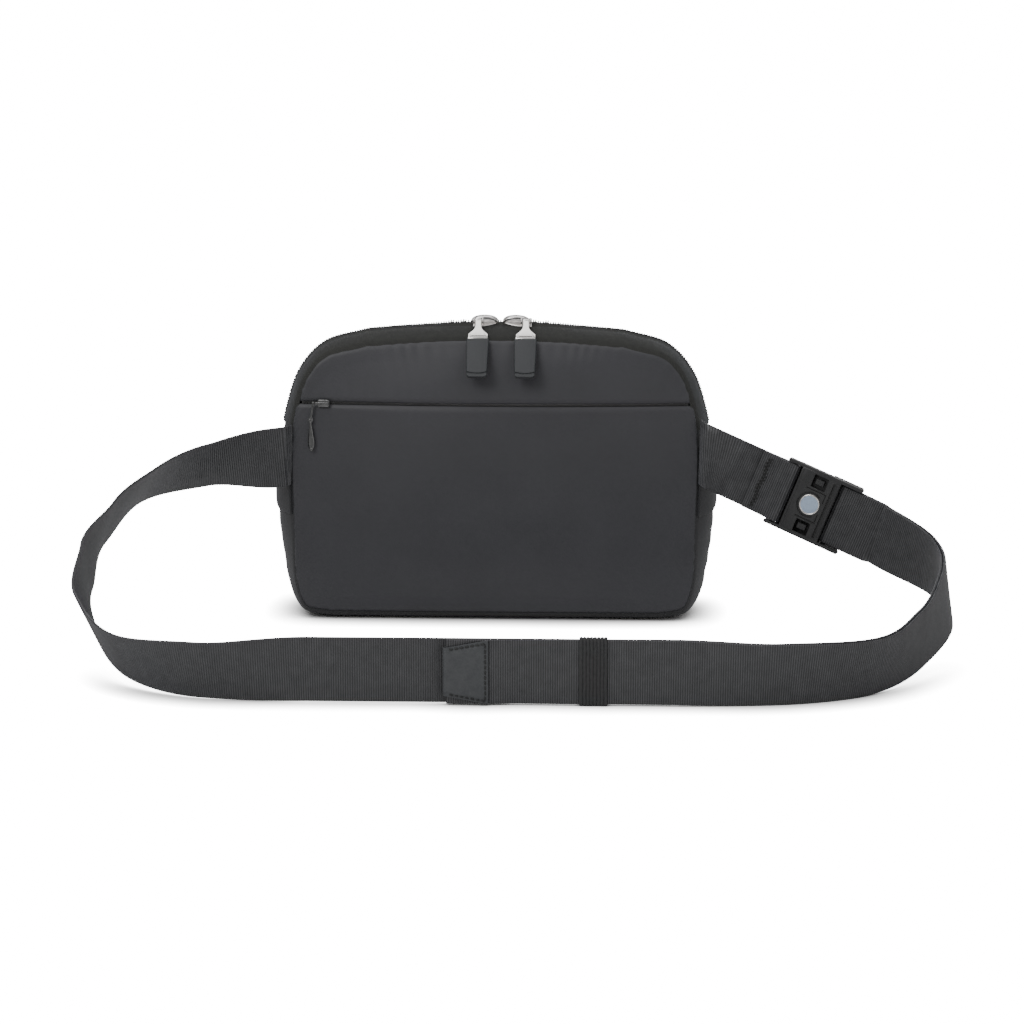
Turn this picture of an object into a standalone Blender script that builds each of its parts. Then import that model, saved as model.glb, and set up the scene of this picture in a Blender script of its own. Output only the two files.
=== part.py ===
"""Belt bag with a zipped main compartment, a zipped front pocket and a webbing waist strap.

The bag stands on its base and the fastened strap stands on edge on the ground in front of it.
Frame: +X to the right of the front panel as it is faced, front towards -Y, +Z up, metres.
Origin: centre of the flat base, on the ground.
"""
import math

import bmesh
import bpy
from mathutils import Matrix, Vector

MM = 0.001

# ---- bag body, millimetres ----
BAG_HEIGHT = 183.3          # crest of the main zip
TOP_ARC_R = 757.0           # the crest is one arc, so that the sliders can turn about its centre
TOP_ARC_HALF = 80.0         # half width of that arc
SIDE_POINTS = [(106, 171.5), (122, 155), (130.5, 132), (135.5, 105), (137.7, 74),
               (135.5, 46), (131, 18), (122, 4), (104, 0)]
HALF_DEPTH_TOP = 14.0       # half depth at the top seam
HALF_DEPTH_GROWTH = 16.5    # added towards the base
TOP_SEAM_Z = 176.0
SEAM_INSET_TOP = 7.6        # how far the panels' seams lie inside the outer outline
SEAM_INSET_SIDE = 6.9
SEAM_INSET_WAIST = 3.6      # extra inset where the bag is widest
SEAM_INSET_BOTTOM = 6.0
SEAM_CORNER_GAIN = 1.5      # the seam runs closer to the rim round the upper corners
BASE_FLAT_LIFT = 0.4        # base points lower than this lie flat on the ground
FRONT_BULGE = 8.0
BACK_BULGE = 3.0
PANEL_HALF_W = 125.5
PANEL_MID_Z = 91.0
PANEL_HALF_H = 88.0
FABRIC_T = 1.6              # padded shell fabric
GAP = 0.3
BAND_END_Z = 121.0          # the zip band gives way to the side gusset here

# ---- main zip ----
CHAIN_HALF_W = 2.7
SLIDER_GAP_X = 3.0          # the two sliders' noses meet here
SLIDER_LENGTH = 18.5
SLIDER_HALF_W = 4.6
PULL_TILT = 48.0            # degrees below level at rest
PULL_PLATE_LENGTH = 13.8
PULL_GRIP_LENGTH = 28.0
PULL_PIVOT_Y = -8.0
PULL_OFFSET = {-1: 13.6, 1: 16.0}   # from the noses' meeting point to each pull's axis centre

# ---- pocket zip ----
POCKET_Z = 136.3
POCKET_GAP = 1.3            # half of the opening between the two panels' folded edges
POCKET_SLIDER_X = -106.3
POCKET_PULL_SHIFT = -6.3     # from the slider's middle to the link's pin

# ---- webbing ----
WEB_W = 38.0
WEB_T = 1.5
WEB_LAYER = 2.0             # centre distance of the tail and the main strap
TAB_LAYER = 3.1             # the same under the leather end tab
STRAP_Y = -232.0            # the straight front run
STRAP_Z = WEB_W / 2 + 0.8    # the keeper passes under the strap
FRONT_X = (-100.0, 112.0)
# x, y, z of the webbing's centre line, and its lean in degrees, from the bag to the front run
LEFT_RUN = [(-127.0, -31, 104, 0), (-177, -38, 99.5, -35), (-210, -60, 92, -43),
            (-231, -95, 75, -26), (-240, -133, 55, 3), (-234, -173, 35, 26.5),
            (-209, -209.5, 20.5, 31.5), (-162, -231.5, 18.4, 19), (-100, STRAP_Y, STRAP_Z, 0)]
RIGHT_RUN = [(236, -61.5, 63.6, -4), (267, -92, 50, 7.5), (271.5, -131, 39.5, 8),
             (254, -173, 26, -6), (225, -210, 19, -18), (172, -231, 19.2, -12),
             (112, STRAP_Y, STRAP_Z, 0)]
STUB_ROOT = Vector((127.0, -31.0, 107.5))
BUCKLE_FROM_ROOT = 78.2

# ---- buckle, local: x along the strap, y across it, z out of its front face ----
BUCKLE_L = 50.0
RAIL_IN = 19.6
RAIL_OUT = 21.8
PLATE_X = (-15.0, 11.0)
WINDOW = (-6.2, 3.2, 10.8, 19.0)
MAGNET_R = 6.0
MAGNET_X = -2.3

# ---- end tab and keeper on the front run ----
TAB_X = (-21.0, 4.6)
TAB_NARROW = 0.75
KEEPER_X = (56.6, 72.6)

COLOURS = {
    "shell": (0.045, 0.045, 0.05, 0.62, 0.0), "twill": (0.02, 0.02, 0.02, 0.8, 0.0),
    "webbing": (0.03, 0.03, 0.032, 0.55, 0.0), "nickel": (0.78, 0.76, 0.74, 0.22, 1.0),
    "grip": (0.075, 0.08, 0.085, 0.5, 0.0), "leather": (0.06, 0.065, 0.07, 0.5, 0.0),
    "plastic": (0.02, 0.02, 0.02, 0.35, 0.0), "steel": (0.55, 0.62, 0.72, 0.25, 1.0),
    "coil": (0.015, 0.015, 0.015, 0.5, 0.0), "elastic": (0.02, 0.02, 0.02, 0.85, 0.0),
    "lining": (0.12, 0.12, 0.125, 0.8, 0.0),
}


# ---------------------------------------------------------------- helpers
def new_material(name, finish):
    red, green, blue, rough, metal = COLOURS[finish]
    material = bpy.data.materials.new(name)
    material.use_nodes = True
    shader = material.node_tree.nodes["Principled BSDF"]
    shader.inputs["Base Color"].default_value = (red, green, blue, 1.0)
    shader.inputs["Roughness"].default_value = rough
    shader.inputs["Metallic"].default_value = metal
    return material


def finish_object(name, mesh_bm, finish, origin=(0, 0, 0), smooth=True):
    """Turn a bmesh in millimetres into a named object in metres with the given origin."""
    bmesh.ops.remove_doubles(mesh_bm, verts=mesh_bm.verts, dist=0.002)
    bmesh.ops.dissolve_degenerate(mesh_bm, edges=mesh_bm.edges, dist=0.002)
    bmesh.ops.recalc_face_normals(mesh_bm, faces=mesh_bm.faces)
    start = Vector(origin)
    for vert in mesh_bm.verts:
        vert.co = (vert.co - start) * MM
    mesh = bpy.data.meshes.new(name)
    mesh_bm.to_mesh(mesh)
    mesh_bm.free()
    mesh.materials.append(new_material(name, finish))
    if smooth:
        mesh.shade_smooth()
        mesh.set_sharp_from_angle(angle=math.radians(35))
    obj = bpy.data.objects.new(name, mesh)
    obj.location = start * MM
    bpy.context.scene.collection.objects.link(obj)
    return obj


def add_slab(bm, outer, inner, closed=False):
    """A closed body between two equal grids of points; closed joins the last column to the first."""
    rows, cols = len(outer), len(outer[0])
    top = [[bm.verts.new(p) for p in row] for row in outer]
    low = [[bm.verts.new(p) for p in row] for row in inner]
    last = cols if closed else cols - 1
    for i in range(rows - 1):
        for j in range(last):
            k = (j + 1) % cols
            bm.faces.new((top[i][j], top[i][k], top[i + 1][k], top[i + 1][j]))
            bm.faces.new((low[i][j], low[i + 1][j], low[i + 1][k], low[i][k]))
    for j in range(last):
        k = (j + 1) % cols
        bm.faces.new((top[0][j], low[0][j], low[0][k], top[0][k]))
        bm.faces.new((top[-1][j], top[-1][k], low[-1][k], low[-1][j]))
    if not closed:
        for i in range(rows - 1):
            bm.faces.new((top[i][0], top[i + 1][0], low[i + 1][0], low[i][0]))
            bm.faces.new((top[i][-1], low[i][-1], low[i + 1][-1], top[i + 1][-1]))


def slab(name, outer, inner, finish, closed=False, origin=(0, 0, 0)):
    bm = bmesh.new()
    add_slab(bm, outer, inner, closed)
    return finish_object(name, bm, finish, origin)


def add_prism(bm, outline, low, high, frame=Matrix.Identity(4)):
    """Extrude a closed (x, y) outline from z = low to z = high, then place it by frame."""
    bottom = [bm.verts.new(frame @ Vector((x, y, low))) for x, y in outline]
    top = [bm.verts.new(frame @ Vector((x, y, high))) for x, y in outline]
    bm.faces.new(list(reversed(bottom)))
    bm.faces.new(top)
    count = len(outline)
    for i in range(count):
        j = (i + 1) % count
        bm.faces.new((bottom[i], bottom[j], top[j], top[i]))


def rectangle(x0, x1, y0, y1, radius=0.0, steps=3):
    """A rectangle's outline, with rounded corners when radius is given."""
    if radius <= 0:
        return [(x0, y0), (x1, y0), (x1, y1), (x0, y1)]
    centres = [(x1 - radius, y1 - radius, 0), (x0 + radius, y1 - radius, 90),
               (x0 + radius, y0 + radius, 180), (x1 - radius, y0 + radius, 270)]
    points = []
    for cx, cy, start in centres:
        for k in range(steps + 1):
            angle = math.radians(start + 90.0 * k / steps)
            points.append((cx + radius * math.cos(angle), cy + radius * math.sin(angle)))
    return points


def circle(cx, cy, radius, steps):
    turn = 2 * math.pi / steps
    return [(cx + radius * math.cos(turn * k), cy + radius * math.sin(turn * k)) for k in range(steps)]


def join_solids(name, builders, finish, origin=(0, 0, 0)):
    """Union several simple solids into one closed body with exact Booleans."""
    base = None
    for number, build in enumerate(builders):
        bm = bmesh.new()
        build(bm)
        label = name if number == 0 else name + "_joined"
        piece = finish_object(label, bm, finish, origin, smooth=False)
        if base is None:
            base = piece
            continue
        apply_boolean(base, piece, "UNION")
    base.data.shade_smooth()
    base.data.set_sharp_from_angle(angle=math.radians(35))
    return base


def apply_boolean(base, tool, operation):
    """Apply one exact Boolean to base and remove the tool."""
    modifier = base.modifiers.new("cut", "BOOLEAN")
    modifier.operation = operation
    modifier.solver = "EXACT"
    modifier.object = tool
    bpy.context.view_layer.update()
    graph = bpy.context.evaluated_depsgraph_get()
    result = bpy.data.meshes.new_from_object(base.evaluated_get(graph))
    base.modifiers.remove(modifier)
    old = base.data
    base.data = result
    result.name = base.name
    bpy.data.meshes.remove(old)
    mesh = tool.data
    bpy.data.objects.remove(tool)
    bpy.data.meshes.remove(mesh)


def catmull(points, steps):
    """A smooth open curve through points, steps samples to each stretch."""
    vectors = [Vector(p) for p in points]
    padded = [2 * vectors[0] - vectors[1]] + vectors + [2 * vectors[-1] - vectors[-2]]
    out = []
    for i in range(1, len(padded) - 2):
        a, b, c, d = padded[i - 1:i + 3]
        for k in range(steps):
            t = k / steps
            out.append(0.5 * (2 * b + (c - a) * t + (2 * a - 5 * b + 4 * c - d) * t * t
                              + (3 * b - a - 3 * c + d) * t ** 3))
    out.append(vectors[-1])
    return out


def resample(points, count):
    """Points evenly spaced along a polyline."""
    lengths = [0.0]
    for a, b in zip(points, points[1:]):
        lengths.append(lengths[-1] + (b - a).length)
    out, i = [], 0
    for k in range(count):
        goal = lengths[-1] * k / (count - 1)
        while i < len(points) - 2 and lengths[i + 1] < goal:
            i += 1
        part = (goal - lengths[i]) / max(lengths[i + 1] - lengths[i], 1e-9)
        out.append(points[i].lerp(points[i + 1], min(max(part, 0.0), 1.0)))
    return out


# ---------------------------------------------------------------- the bag's shape
def outer_outline():
    """The bag's widest outline seen from the front, from the base's centre round the right side
    to the crest, as (x, z)."""
    bottom = [Vector((x, 0.0)) for x in (0, 26, 52, 78)]
    half_angle = math.asin(TOP_ARC_HALF / TOP_ARC_R)
    arc = []
    for k in range(7):
        angle = half_angle * (1 - k / 6)
        arc.append(Vector((TOP_ARC_R * math.sin(angle),
                           BAG_HEIGHT - TOP_ARC_R * (1 - math.cos(angle)))))
    side = catmull([(104, 0)] + [p for p in reversed(SIDE_POINTS[:-1])] + [tuple(arc[0])], 4)
    return bottom + [Vector((p.x, max(p.y, 0.0))) for p in side] + arc[1:]


def outline_normals(points):
    """Outward normals along the half outline."""
    normals = []
    for i in range(len(points)):
        a = points[max(i - 1, 0)]
        b = points[min(i + 1, len(points) - 1)]
        along = (b - a).normalized()
        normals.append(Vector((along.y, -along.x)))
    normals[0] = Vector((0.0, -1.0))
    normals[-1] = Vector((0.0, 1.0))
    return normals


def half_depth(z):
    """Half depth of the bag at the panels' seams, at a height."""
    share = min(max(z / TOP_SEAM_Z, 0.0), 1.0)
    return HALF_DEPTH_TOP + HALF_DEPTH_GROWTH * (1 - share ** 2.4)


def swell(x, z):
    across = max(0.0, 1 - (x / PANEL_HALF_W) ** 2)
    upright = max(0.0, 1 - abs((z - PANEL_MID_Z) / PANEL_HALF_H) ** 4)
    return across * upright


def front_y(x, z):
    return -(half_depth(z) + FRONT_BULGE * swell(x, z))


def back_y(x, z):
    return half_depth(z) + BACK_BULGE * swell(x, z)


OUTLINE = outer_outline()
NORMALS = outline_normals(OUTLINE)
SEAM = []
for spot, normal in zip(OUTLINE, NORMALS):
    edge = SEAM_INSET_TOP if normal.y > 0 else SEAM_INSET_BOTTOM
    waist = SEAM_INSET_WAIST * math.exp(-((spot.y - 70) / 40) ** 2)
    inset = (SEAM_INSET_SIDE + waist) * normal.x ** 2 + edge * normal.y ** 2
    inset -= SEAM_CORNER_GAIN * 2 * normal.x * max(normal.y, 0.0)
    SEAM.append(spot - normal * inset)


def mirrored(points):
    """The whole outline, from the crest down the left side, along the base and up the right."""
    left = [Vector((-p.x, p.y)) for p in reversed(points)]
    return left[:-1] + list(points)


OUTLINE_ALL = mirrored(OUTLINE)
SEAM_ALL = mirrored(SEAM)
LAST = len(OUTLINE) - 1
NORMALS_ALL = [Vector((-n.x, n.y)) for n in reversed(NORMALS)][:-1] + NORMALS


def gusset_point(index, y, lift=0.0):
    """A point of the outer skin between the front and back seams, at depth y, lifted outwards."""
    seam, rim, normal = SEAM_ALL[index], OUTLINE_ALL[index], NORMALS_ALL[index]
    limit = -front_y(seam.x, seam.y) if y < 0 else back_y(seam.x, seam.y)
    share = min(abs(y) / limit, 1.0)
    power = 2.1 + 4.0 * max(0.0, -normal.y) ** 3
    flat = seam.lerp(rim, 1 - share ** power) + normal * lift
    if normal.y < -0.5 and lift == 0.0 and flat.y < BASE_FLAT_LIFT:
        flat.y = 0.0
    return Vector((flat.x, y, flat.y))


def gusset_skin(indices, spans, thick):
    """Grids of the skin's outside and inside; spans gives the depths (y) at an index."""
    outer, inner = [], []
    for index in indices:
        depths = spans(index)
        row_out, row_in = [], []
        seam = SEAM_ALL[index]
        front = front_y(seam.x, seam.y)
        back = back_y(seam.x, seam.y)
        normal = NORMALS_ALL[index]
        for y in depths:
            point = gusset_point(index, y)
            at_rim = y < front + 0.6 or y > back - 0.6
            if at_rim:
                shift = Vector((0.0, thick if y < 0 else -thick, 0.0))
            else:
                shift = Vector((-normal.x, 0.0, -normal.y)) * thick
            row_out.append(point)
            row_in.append(point + shift)
        outer.append(row_out)
        inner.append(row_in)
    return outer, inner


def seam_stretch(z_low, z_high, count, inset):
    """Seam points evenly spaced over the heights asked for, in order from left to right."""
    upper = z_low > PANEL_MID_Z
    if upper:
        chosen = [SEAM_ALL[i] - NORMALS_ALL[i] * inset for i in range(LAST, -1, -1)]
        right = [Vector((-p.x, p.y)) for p in chosen]
        kept = [p for p in right if p.y > z_low + 0.5]
        end = cut_at_height(right, z_low)
        half = resample([end] + kept, count // 2 + 1)
        half_left = [Vector((-p.x, p.y)) for p in half]
        return half_left + list(reversed(half))[1:]
    chosen = [SEAM[i] - NORMALS[i] * inset for i in range(LAST + 1)]
    kept = [p for p in chosen if p.y < z_high - 0.5]
    end = cut_at_height(chosen, z_high)
    half = resample(kept + [end], count // 2 + 1)
    half_left = [Vector((-p.x, p.y)) for p in reversed(half)]
    return half_left + half[1:]


def cut_at_height(points, z):
    """The point of a polyline at a height."""
    for a, b in zip(points, points[1:]):
        if (a.y - z) * (b.y - z) <= 0 and a.y != b.y:
            return a.lerp(b, (z - a.y) / (b.y - a.y))
    return points[-1]


def panel(name, z_cut, upper, rows, count, face):
    """A shell panel between the outline seam and a straight horizontal edge."""
    sign = -1 if face is front_y else 1
    seam = seam_stretch(z_cut if upper else 0, 1000 if upper else z_cut, count, GAP / 2)
    half = abs(seam[0].x)
    outer, inner = [], []
    for i in range(rows + 1):
        share = i / rows
        row_out, row_in = [], []
        for j, edge in enumerate(seam):
            flat = Vector((-half + 2 * half * j / (len(seam) - 1), z_cut))
            spot = flat.lerp(edge, share)
            y = face(spot.x, spot.y)
            row_out.append(Vector((spot.x, y, spot.y)))
            row_in.append(Vector((spot.x, y - sign * FABRIC_T, spot.y)))
        outer.append(row_out)
        inner.append(row_in)
    return slab(name, outer, inner, "shell")


def back_panel():
    """The back panel, one piece from the base seam to the top seam."""
    columns, rows = 26, 9
    curve = [SEAM[i] - NORMALS[i] * GAP / 2 for i in range(LAST + 1)]
    widest = max(range(len(curve)), key=lambda i: curve[i].x)
    reach = curve[widest].x - 0.3
    outer, inner = [], []
    for i in range(columns + 1):
        x = reach * math.sin(math.pi * (i / columns - 0.5))
        low = height_at(curve[:widest + 1], abs(x))
        high = height_at(curve[widest:], abs(x))
        row_out, row_in = [], []
        for j in range(rows + 1):
            z = low + (high - low) * j / rows
            y = back_y(x, z)
            row_out.append(Vector((x, y, z)))
            row_in.append(Vector((x, y - FABRIC_T, z)))
        outer.append(row_out)
        inner.append(row_in)
    return slab("back_panel", outer, inner, "shell")


def height_at(points, x):
    """The height of a half outline's stretch at a distance from the middle."""
    for a, b in zip(points, points[1:]):
        if (a.x - x) * (b.x - x) <= 0 and a.x != b.x:
            return a.lerp(b, (x - a.x) / (b.x - a.x)).y
    return points[-1].y


# ---------------------------------------------------------------- zip band and gusset
def band_indices():
    first = min(i for i in range(LAST, len(OUTLINE_ALL)) if OUTLINE_ALL[i].y > BAND_END_Z)
    right = list(range(first, len(OUTLINE_ALL)))
    left = [2 * LAST - i for i in right]
    return left, right


def band_grid(depths_at, thick, lift=0.0):
    """Grids along the zip band, from its left end over the crest to its right end."""
    left, right = band_indices()
    order = left + list(reversed(right))[1:]
    outer, inner = gusset_skin(order, depths_at, thick)
    if lift:
        for row, index in zip(outer, order):
            normal = NORMALS_ALL[index]
            for k, point in enumerate(row):
                row[k] = point + Vector((normal.x, 0, normal.y)) * lift
    return outer, inner


def make_band():
    edge = CHAIN_HALF_W + GAP

    def front_depths(index):
        seam = SEAM_ALL[index]
        start = front_y(seam.x, seam.y)
        return [start + (-edge - start) * t for t in (0, 0.2, 0.6, 1)]

    def rear_depths(index):
        seam = SEAM_ALL[index]
        stop = back_y(seam.x, seam.y)
        return [edge + (stop - edge) * t for t in (0, 0.4, 0.8, 1)]

    def chain_depths(index):
        return [-CHAIN_HALF_W, 0.0, CHAIN_HALF_W]

    slab("main_zip_tape_front", *band_grid(front_depths, 1.0), "twill")
    slab("main_zip_tape_rear", *band_grid(rear_depths, 1.0), "twill")
    slab("main_zip_coil", *band_grid(chain_depths, 1.6, 0.5), "coil")


def make_gusset():
    left, right = band_indices()
    below = list(range(left[0], right[0] + 1))

    def depths(index):
        seam = SEAM_ALL[index]
        start, stop = front_y(seam.x, seam.y), back_y(seam.x, seam.y)
        shares = (-1, -0.93, -0.6, -0.25, 0, 0.25, 0.6, 0.93, 1)
        return [(-s * start if s < 0 else s * stop) for s in shares]

    grids = gusset_skin(below, depths, FABRIC_T)
    for grid in grids:
        for end, beside in ((0, 1), (-1, -2)):
            for k, point in enumerate(grid[end]):
                grid[end][k] = point + (grid[beside][k] - point).normalized() * GAP
    slab("side_and_base_gusset", *grids, "shell")


def side_patch(name, side):
    """The rounded reinforcement under each strap root, on the gusset's outside."""
    right = [i for i in range(LAST, len(OUTLINE_ALL)) if 70.0 < OUTLINE_ALL[i].y < 118.0]
    order = right if side > 0 else [2 * LAST - i for i in right]
    outer, inner = [], []
    for number, index in enumerate(order):
        seam = SEAM_ALL[index]
        start = front_y(seam.x, seam.y) + 2.4
        reach = 0.35 if number == 0 else 0.75 if number == 1 else 1.0
        row_out, row_in = [], []
        for t in (0, 0.33, 0.66, 1.0):
            y = start + (4.0 - start) * t * reach
            row_in.append(gusset_point(index, y, GAP + 0.4))
            row_out.append(gusset_point(index, y, GAP + 1.5))
        outer.append(row_out)
        inner.append(row_in)
    return slab(name, outer, inner, "shell")


# ---------------------------------------------------------------- linings and pocket zip
def make_linings():
    """The main lining is a cup open at the zip; the pocket lining hangs behind the pocket."""
    heights = (4.5, 12, 40, 80, 120, 150, 166)
    outer, inner = [], []
    for level in heights:
        width = cut_at_height(SEAM[2:], level + 4).x - 6.0
        depth = half_depth(level) - 5.0
        if level == heights[0]:
            width, depth = width - 6.0, depth - 3.0
        row_out, row_in = [], []
        for x, y in rectangle(-width, width, -depth, depth, depth * 0.5, 3):
            row_out.append(Vector((x, y, level)))
            row_in.append(Vector((x * (1 - 0.6 / width), y * (1 - 0.6 / depth), max(level, 5.1))))
        outer.append(row_out)
        inner.append(row_in)
    bm = bmesh.new()
    top = [[bm.verts.new(p) for p in row] for row in outer]
    low = [[bm.verts.new(p) for p in row] for row in inner]
    count = len(top[0])
    for i in range(len(top) - 1):
        for j in range(count):
            k = (j + 1) % count
            bm.faces.new((top[i][j], top[i][k], top[i + 1][k], top[i + 1][j]))
            bm.faces.new((low[i][j], low[i + 1][j], low[i + 1][k], low[i][k]))
    for j in range(count):
        k = (j + 1) % count
        bm.faces.new((top[-1][j], top[-1][k], low[-1][k], low[-1][j]))
    bm.faces.new(list(reversed(top[0])))
    bm.faces.new(low[0])
    finish_object("main_lining", bm, "lining")

    outer, inner = [], []
    for z in (24, 60, 95, 124):
        row_out, row_in = [], []
        for k in range(9):
            x = -108 + 27 * k
            y = front_y(x, z) + FABRIC_T + 0.9
            row_out.append(Vector((x, y, z)))
            row_in.append(Vector((x, y + 0.4, z)))
        outer.append(row_out)
        inner.append(row_in)
    slab("pocket_lining", outer, inner, "lining")


def strip_behind(name, z_low, z_high, half, behind, thick, finish):
    """A strip following the front panel, behind its face by the given depth."""
    outer, inner = [], []
    for k in range(21):
        x = -half + 2 * half * k / 20
        row_out, row_in = [], []
        for z in (z_low, z_high):
            y = front_y(x, z) + behind
            row_out.append(Vector((x, y, z)))
            row_in.append(Vector((x, y + thick, z)))
        outer.append(row_out)
        inner.append(row_in)
    return slab(name, outer, inner, finish)


def make_pocket_zip():
    strip_behind("pocket_zip_coil", POCKET_Z - 0.9, POCKET_Z + 0.9, 116.5, 0.5, 1.1, "coil")
    strip_behind("pocket_zip_tape", POCKET_Z - 8.0, POCKET_Z + 8.0, 111.0, 2.1, 0.5, "twill")


def make_pocket_slider():
    """The small slider, its link and its drop, hanging in front of the pocket panel."""
    x = POCKET_SLIDER_X
    face = front_y(x, POCKET_Z)
    slope = (front_y(x, POCKET_Z) - front_y(x, POCKET_Z - 30.0)) / 30.0
    yaw = math.atan(2 * FRONT_BULGE * x / PANEL_HALF_W ** 2)
    frame = hang_frame(Vector((x, face - 0.7, POCKET_Z)), yaw, 0.0, slope) \
        @ Matrix.Translation((-2.5, 0.0, 0.0))

    def block(x0, x1, half, low, high, radius=0.0):
        outline = rectangle(x0, x1, -half, half, radius, 2)
        return lambda bm: add_prism(bm, outline, low, high, frame)

    parts = [block(-1.0, 6.5, 2.3, 0.0, 1.6, 1.1), block(-2.4, -0.5, 0.7, 0.7, 2.6),
             block(-1.5, 6.0, 0.7, 2.0, 2.6), block(4.8, 6.0, 0.7, 1.0, 2.3)]
    join_solids("pocket_slider", parts, "nickel", (0.0, pocket_arc_centre(), POCKET_Z))

    pivot = Vector((x + POCKET_PULL_SHIFT, face - 2.2, POCKET_Z))
    hang(pivot, yaw, math.radians(8), slope, [(-0.7, 0.9), (-0.7, -10.0), (0.7, -10.0), (0.7, 0.9)],
         0.5, "pocket_pull_link")
    joint = hang_frame(pivot, yaw, math.radians(8), slope) @ Vector((0.0, -11.0, -0.2))
    drop = [(-0.6, 0.6), (-1.4, -3), (-2.1, -12), (-1.9, -16.5), (-1.0, -18.6),
            (1.0, -18.6), (1.9, -16.5), (2.1, -12), (1.4, -3), (0.6, 0.6)]
    hang(joint, yaw, math.radians(-3), slope, drop, 0.8, "pocket_pull_drop")


def hang_frame(pivot, yaw, sideways, slope):
    """Local -Y hangs down the sloping panel, local Z stands off it."""
    lean = Matrix.Rotation(math.radians(90) - math.atan(slope), 4, "X")
    place = Matrix.Translation(pivot) @ Matrix.Rotation(yaw, 4, "Z")
    return place @ Matrix.Rotation(sideways, 4, "Y") @ lean


def hang(pivot, yaw, sideways, slope, outline, half, name):
    bm = bmesh.new()
    add_prism(bm, outline, -half, half, hang_frame(pivot, yaw, sideways, slope))
    finish_object(name, bm, "nickel", pivot)


def pocket_arc_centre():
    """The y of the centre of the circle that the pocket zip follows, seen from above."""
    half = PANEL_HALF_W
    rise = FRONT_BULGE * swell(0.0, POCKET_Z)
    radius = half * half / (2 * rise)
    return front_y(0.0, POCKET_Z) + radius


# ---------------------------------------------------------------- main sliders and pulls
def crest_frame(x):
    """Local axes on the crest at x: x along the zip, y back, z out of it."""
    angle = math.asin(x / TOP_ARC_R)
    z = BAG_HEIGHT - TOP_ARC_R * (1 - math.cos(angle))
    return Matrix.Translation((x, 0.0, z)) @ Matrix.Rotation(angle, 4, "Y")


def make_main_slider(side):
    """One slider: a pointed boat-shaped body under an arched bridge, nose towards the middle."""
    label = "left" if side < 0 else "right"
    nose = SLIDER_GAP_X + side * 0.6
    frame = crest_frame(nose + side * SLIDER_LENGTH / 2)
    half = SLIDER_LENGTH / 2
    base = 1.0
    pivot_x = SLIDER_GAP_X + side * PULL_OFFSET[side]
    tail = abs(pivot_x - nose - side * half) + 3.5

    def outline(scale):
        points = []
        for k in range(9):
            t = k / 8
            x = -half + (half + tail) * t
            points.append((side * x, scale * SLIDER_HALF_W * math.sin(math.pi / 2 * min(1, 1.35 * t)) ** 0.8))
        back = [(x, -y) for x, y in reversed(points)]
        return points + [p for p in back[:-1]]

    def body(bm):
        add_prism(bm, outline(1.0), base, base + 1.8, frame)

    def bridge(bm):
        rows = []
        for k in range(9):
            angle = math.pi * k / 8
            x = -side * (half - 2.0) * math.cos(angle)
            z = base + 1.0 + 4.6 * math.sin(angle) ** 0.7
            low = base + 0.6 + 3.4 * math.sin(angle) ** 0.7
            inner = -side * (half - 3.4) * math.cos(angle)
            rows.append((x, z, inner, low))
        outer = [[frame @ Vector((x, y, z)) for y in (-1.6, 1.6)] for x, z, _, _ in rows]
        inner = [[frame @ Vector((x, y, z)) for y in (-1.6, 1.6)] for _, _, x, z in rows]
        add_slab(bm, outer, inner)

    ears = []
    for edge in (-1, 1):
        x0, x1 = sorted((edge * 2.1, edge * 3.3))
        place = Matrix.Translation((pivot_x, 0.0, crest_frame(pivot_x).translation.z))
        ears.append(lambda bm, x0=x0, x1=x1: add_prism(bm, rectangle(x0, x1, PULL_PIVOT_Y - 1.2, -2.6), 1.3, 4.2, place))
    name = "main_slider_" + label
    join_solids(name, [body, bridge] + ears, "nickel", (0.0, 0.0, BAG_HEIGHT - TOP_ARC_R))
    make_main_pull(side, label)


def make_main_pull(side, label):
    """A plate with a narrow neck, moulded into a soft grip; it hangs over the front seam."""
    x = SLIDER_GAP_X + side * PULL_OFFSET[side]
    crest = crest_frame(x).translation
    pivot = Vector((x, PULL_PIVOT_Y, crest.z + 3.2))
    frame = Matrix.Translation(pivot) @ Matrix.Rotation(math.radians(PULL_TILT), 4, "X")
    end = -PULL_PLATE_LENGTH
    plate = [(-1.7, 1.2), (-1.7, -6.0), (-6.0, -10.2), (-6.0, end), (6.0, end), (6.0, -10.2),
             (1.7, -6.0), (1.7, 1.2)]
    bm = bmesh.new()
    add_prism(bm, list(reversed(plate)), -0.7, 0.7, frame)
    finish_object("main_pull_plate_" + label, bm, "nickel", pivot)
    tip = end - PULL_GRIP_LENGTH
    top, low = end - GAP, tip
    grip = [(-6.8, top), (-6.0, low + 1.2), (-5.0, low), (5.0, low), (6.0, low + 1.2), (6.8, top)]
    bm = bmesh.new()
    add_prism(bm, grip, -1.6, 1.6, frame)
    finish_object("main_pull_grip_" + label, bm, "grip", pivot)


# ---------------------------------------------------------------- webbing
def run_frames(stations, steps):
    """Centre points, across-directions and face normals along a run of webbing."""
    fine = catmull([s[:3] for s in stations], steps)
    leans = []
    for i in range(len(stations) - 1):
        for k in range(steps):
            t = k / steps
            ease = t * t * (3 - 2 * t)
            leans.append(stations[i][3] + (stations[i + 1][3] - stations[i][3]) * ease)
    leans.append(stations[-1][3])
    frames = []
    for i, point in enumerate(fine):
        along = (fine[min(i + 1, len(fine) - 1)] - fine[max(i - 1, 0)]).normalized()
        upright = (Vector((0, 0, 1)) - along * along.z).normalized()
        face = along.cross(upright)
        angle = math.radians(leans[i])
        across = upright * math.cos(angle) + face * math.sin(angle)
        frames.append((point, across, along.cross(across)))
    return frames


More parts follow.
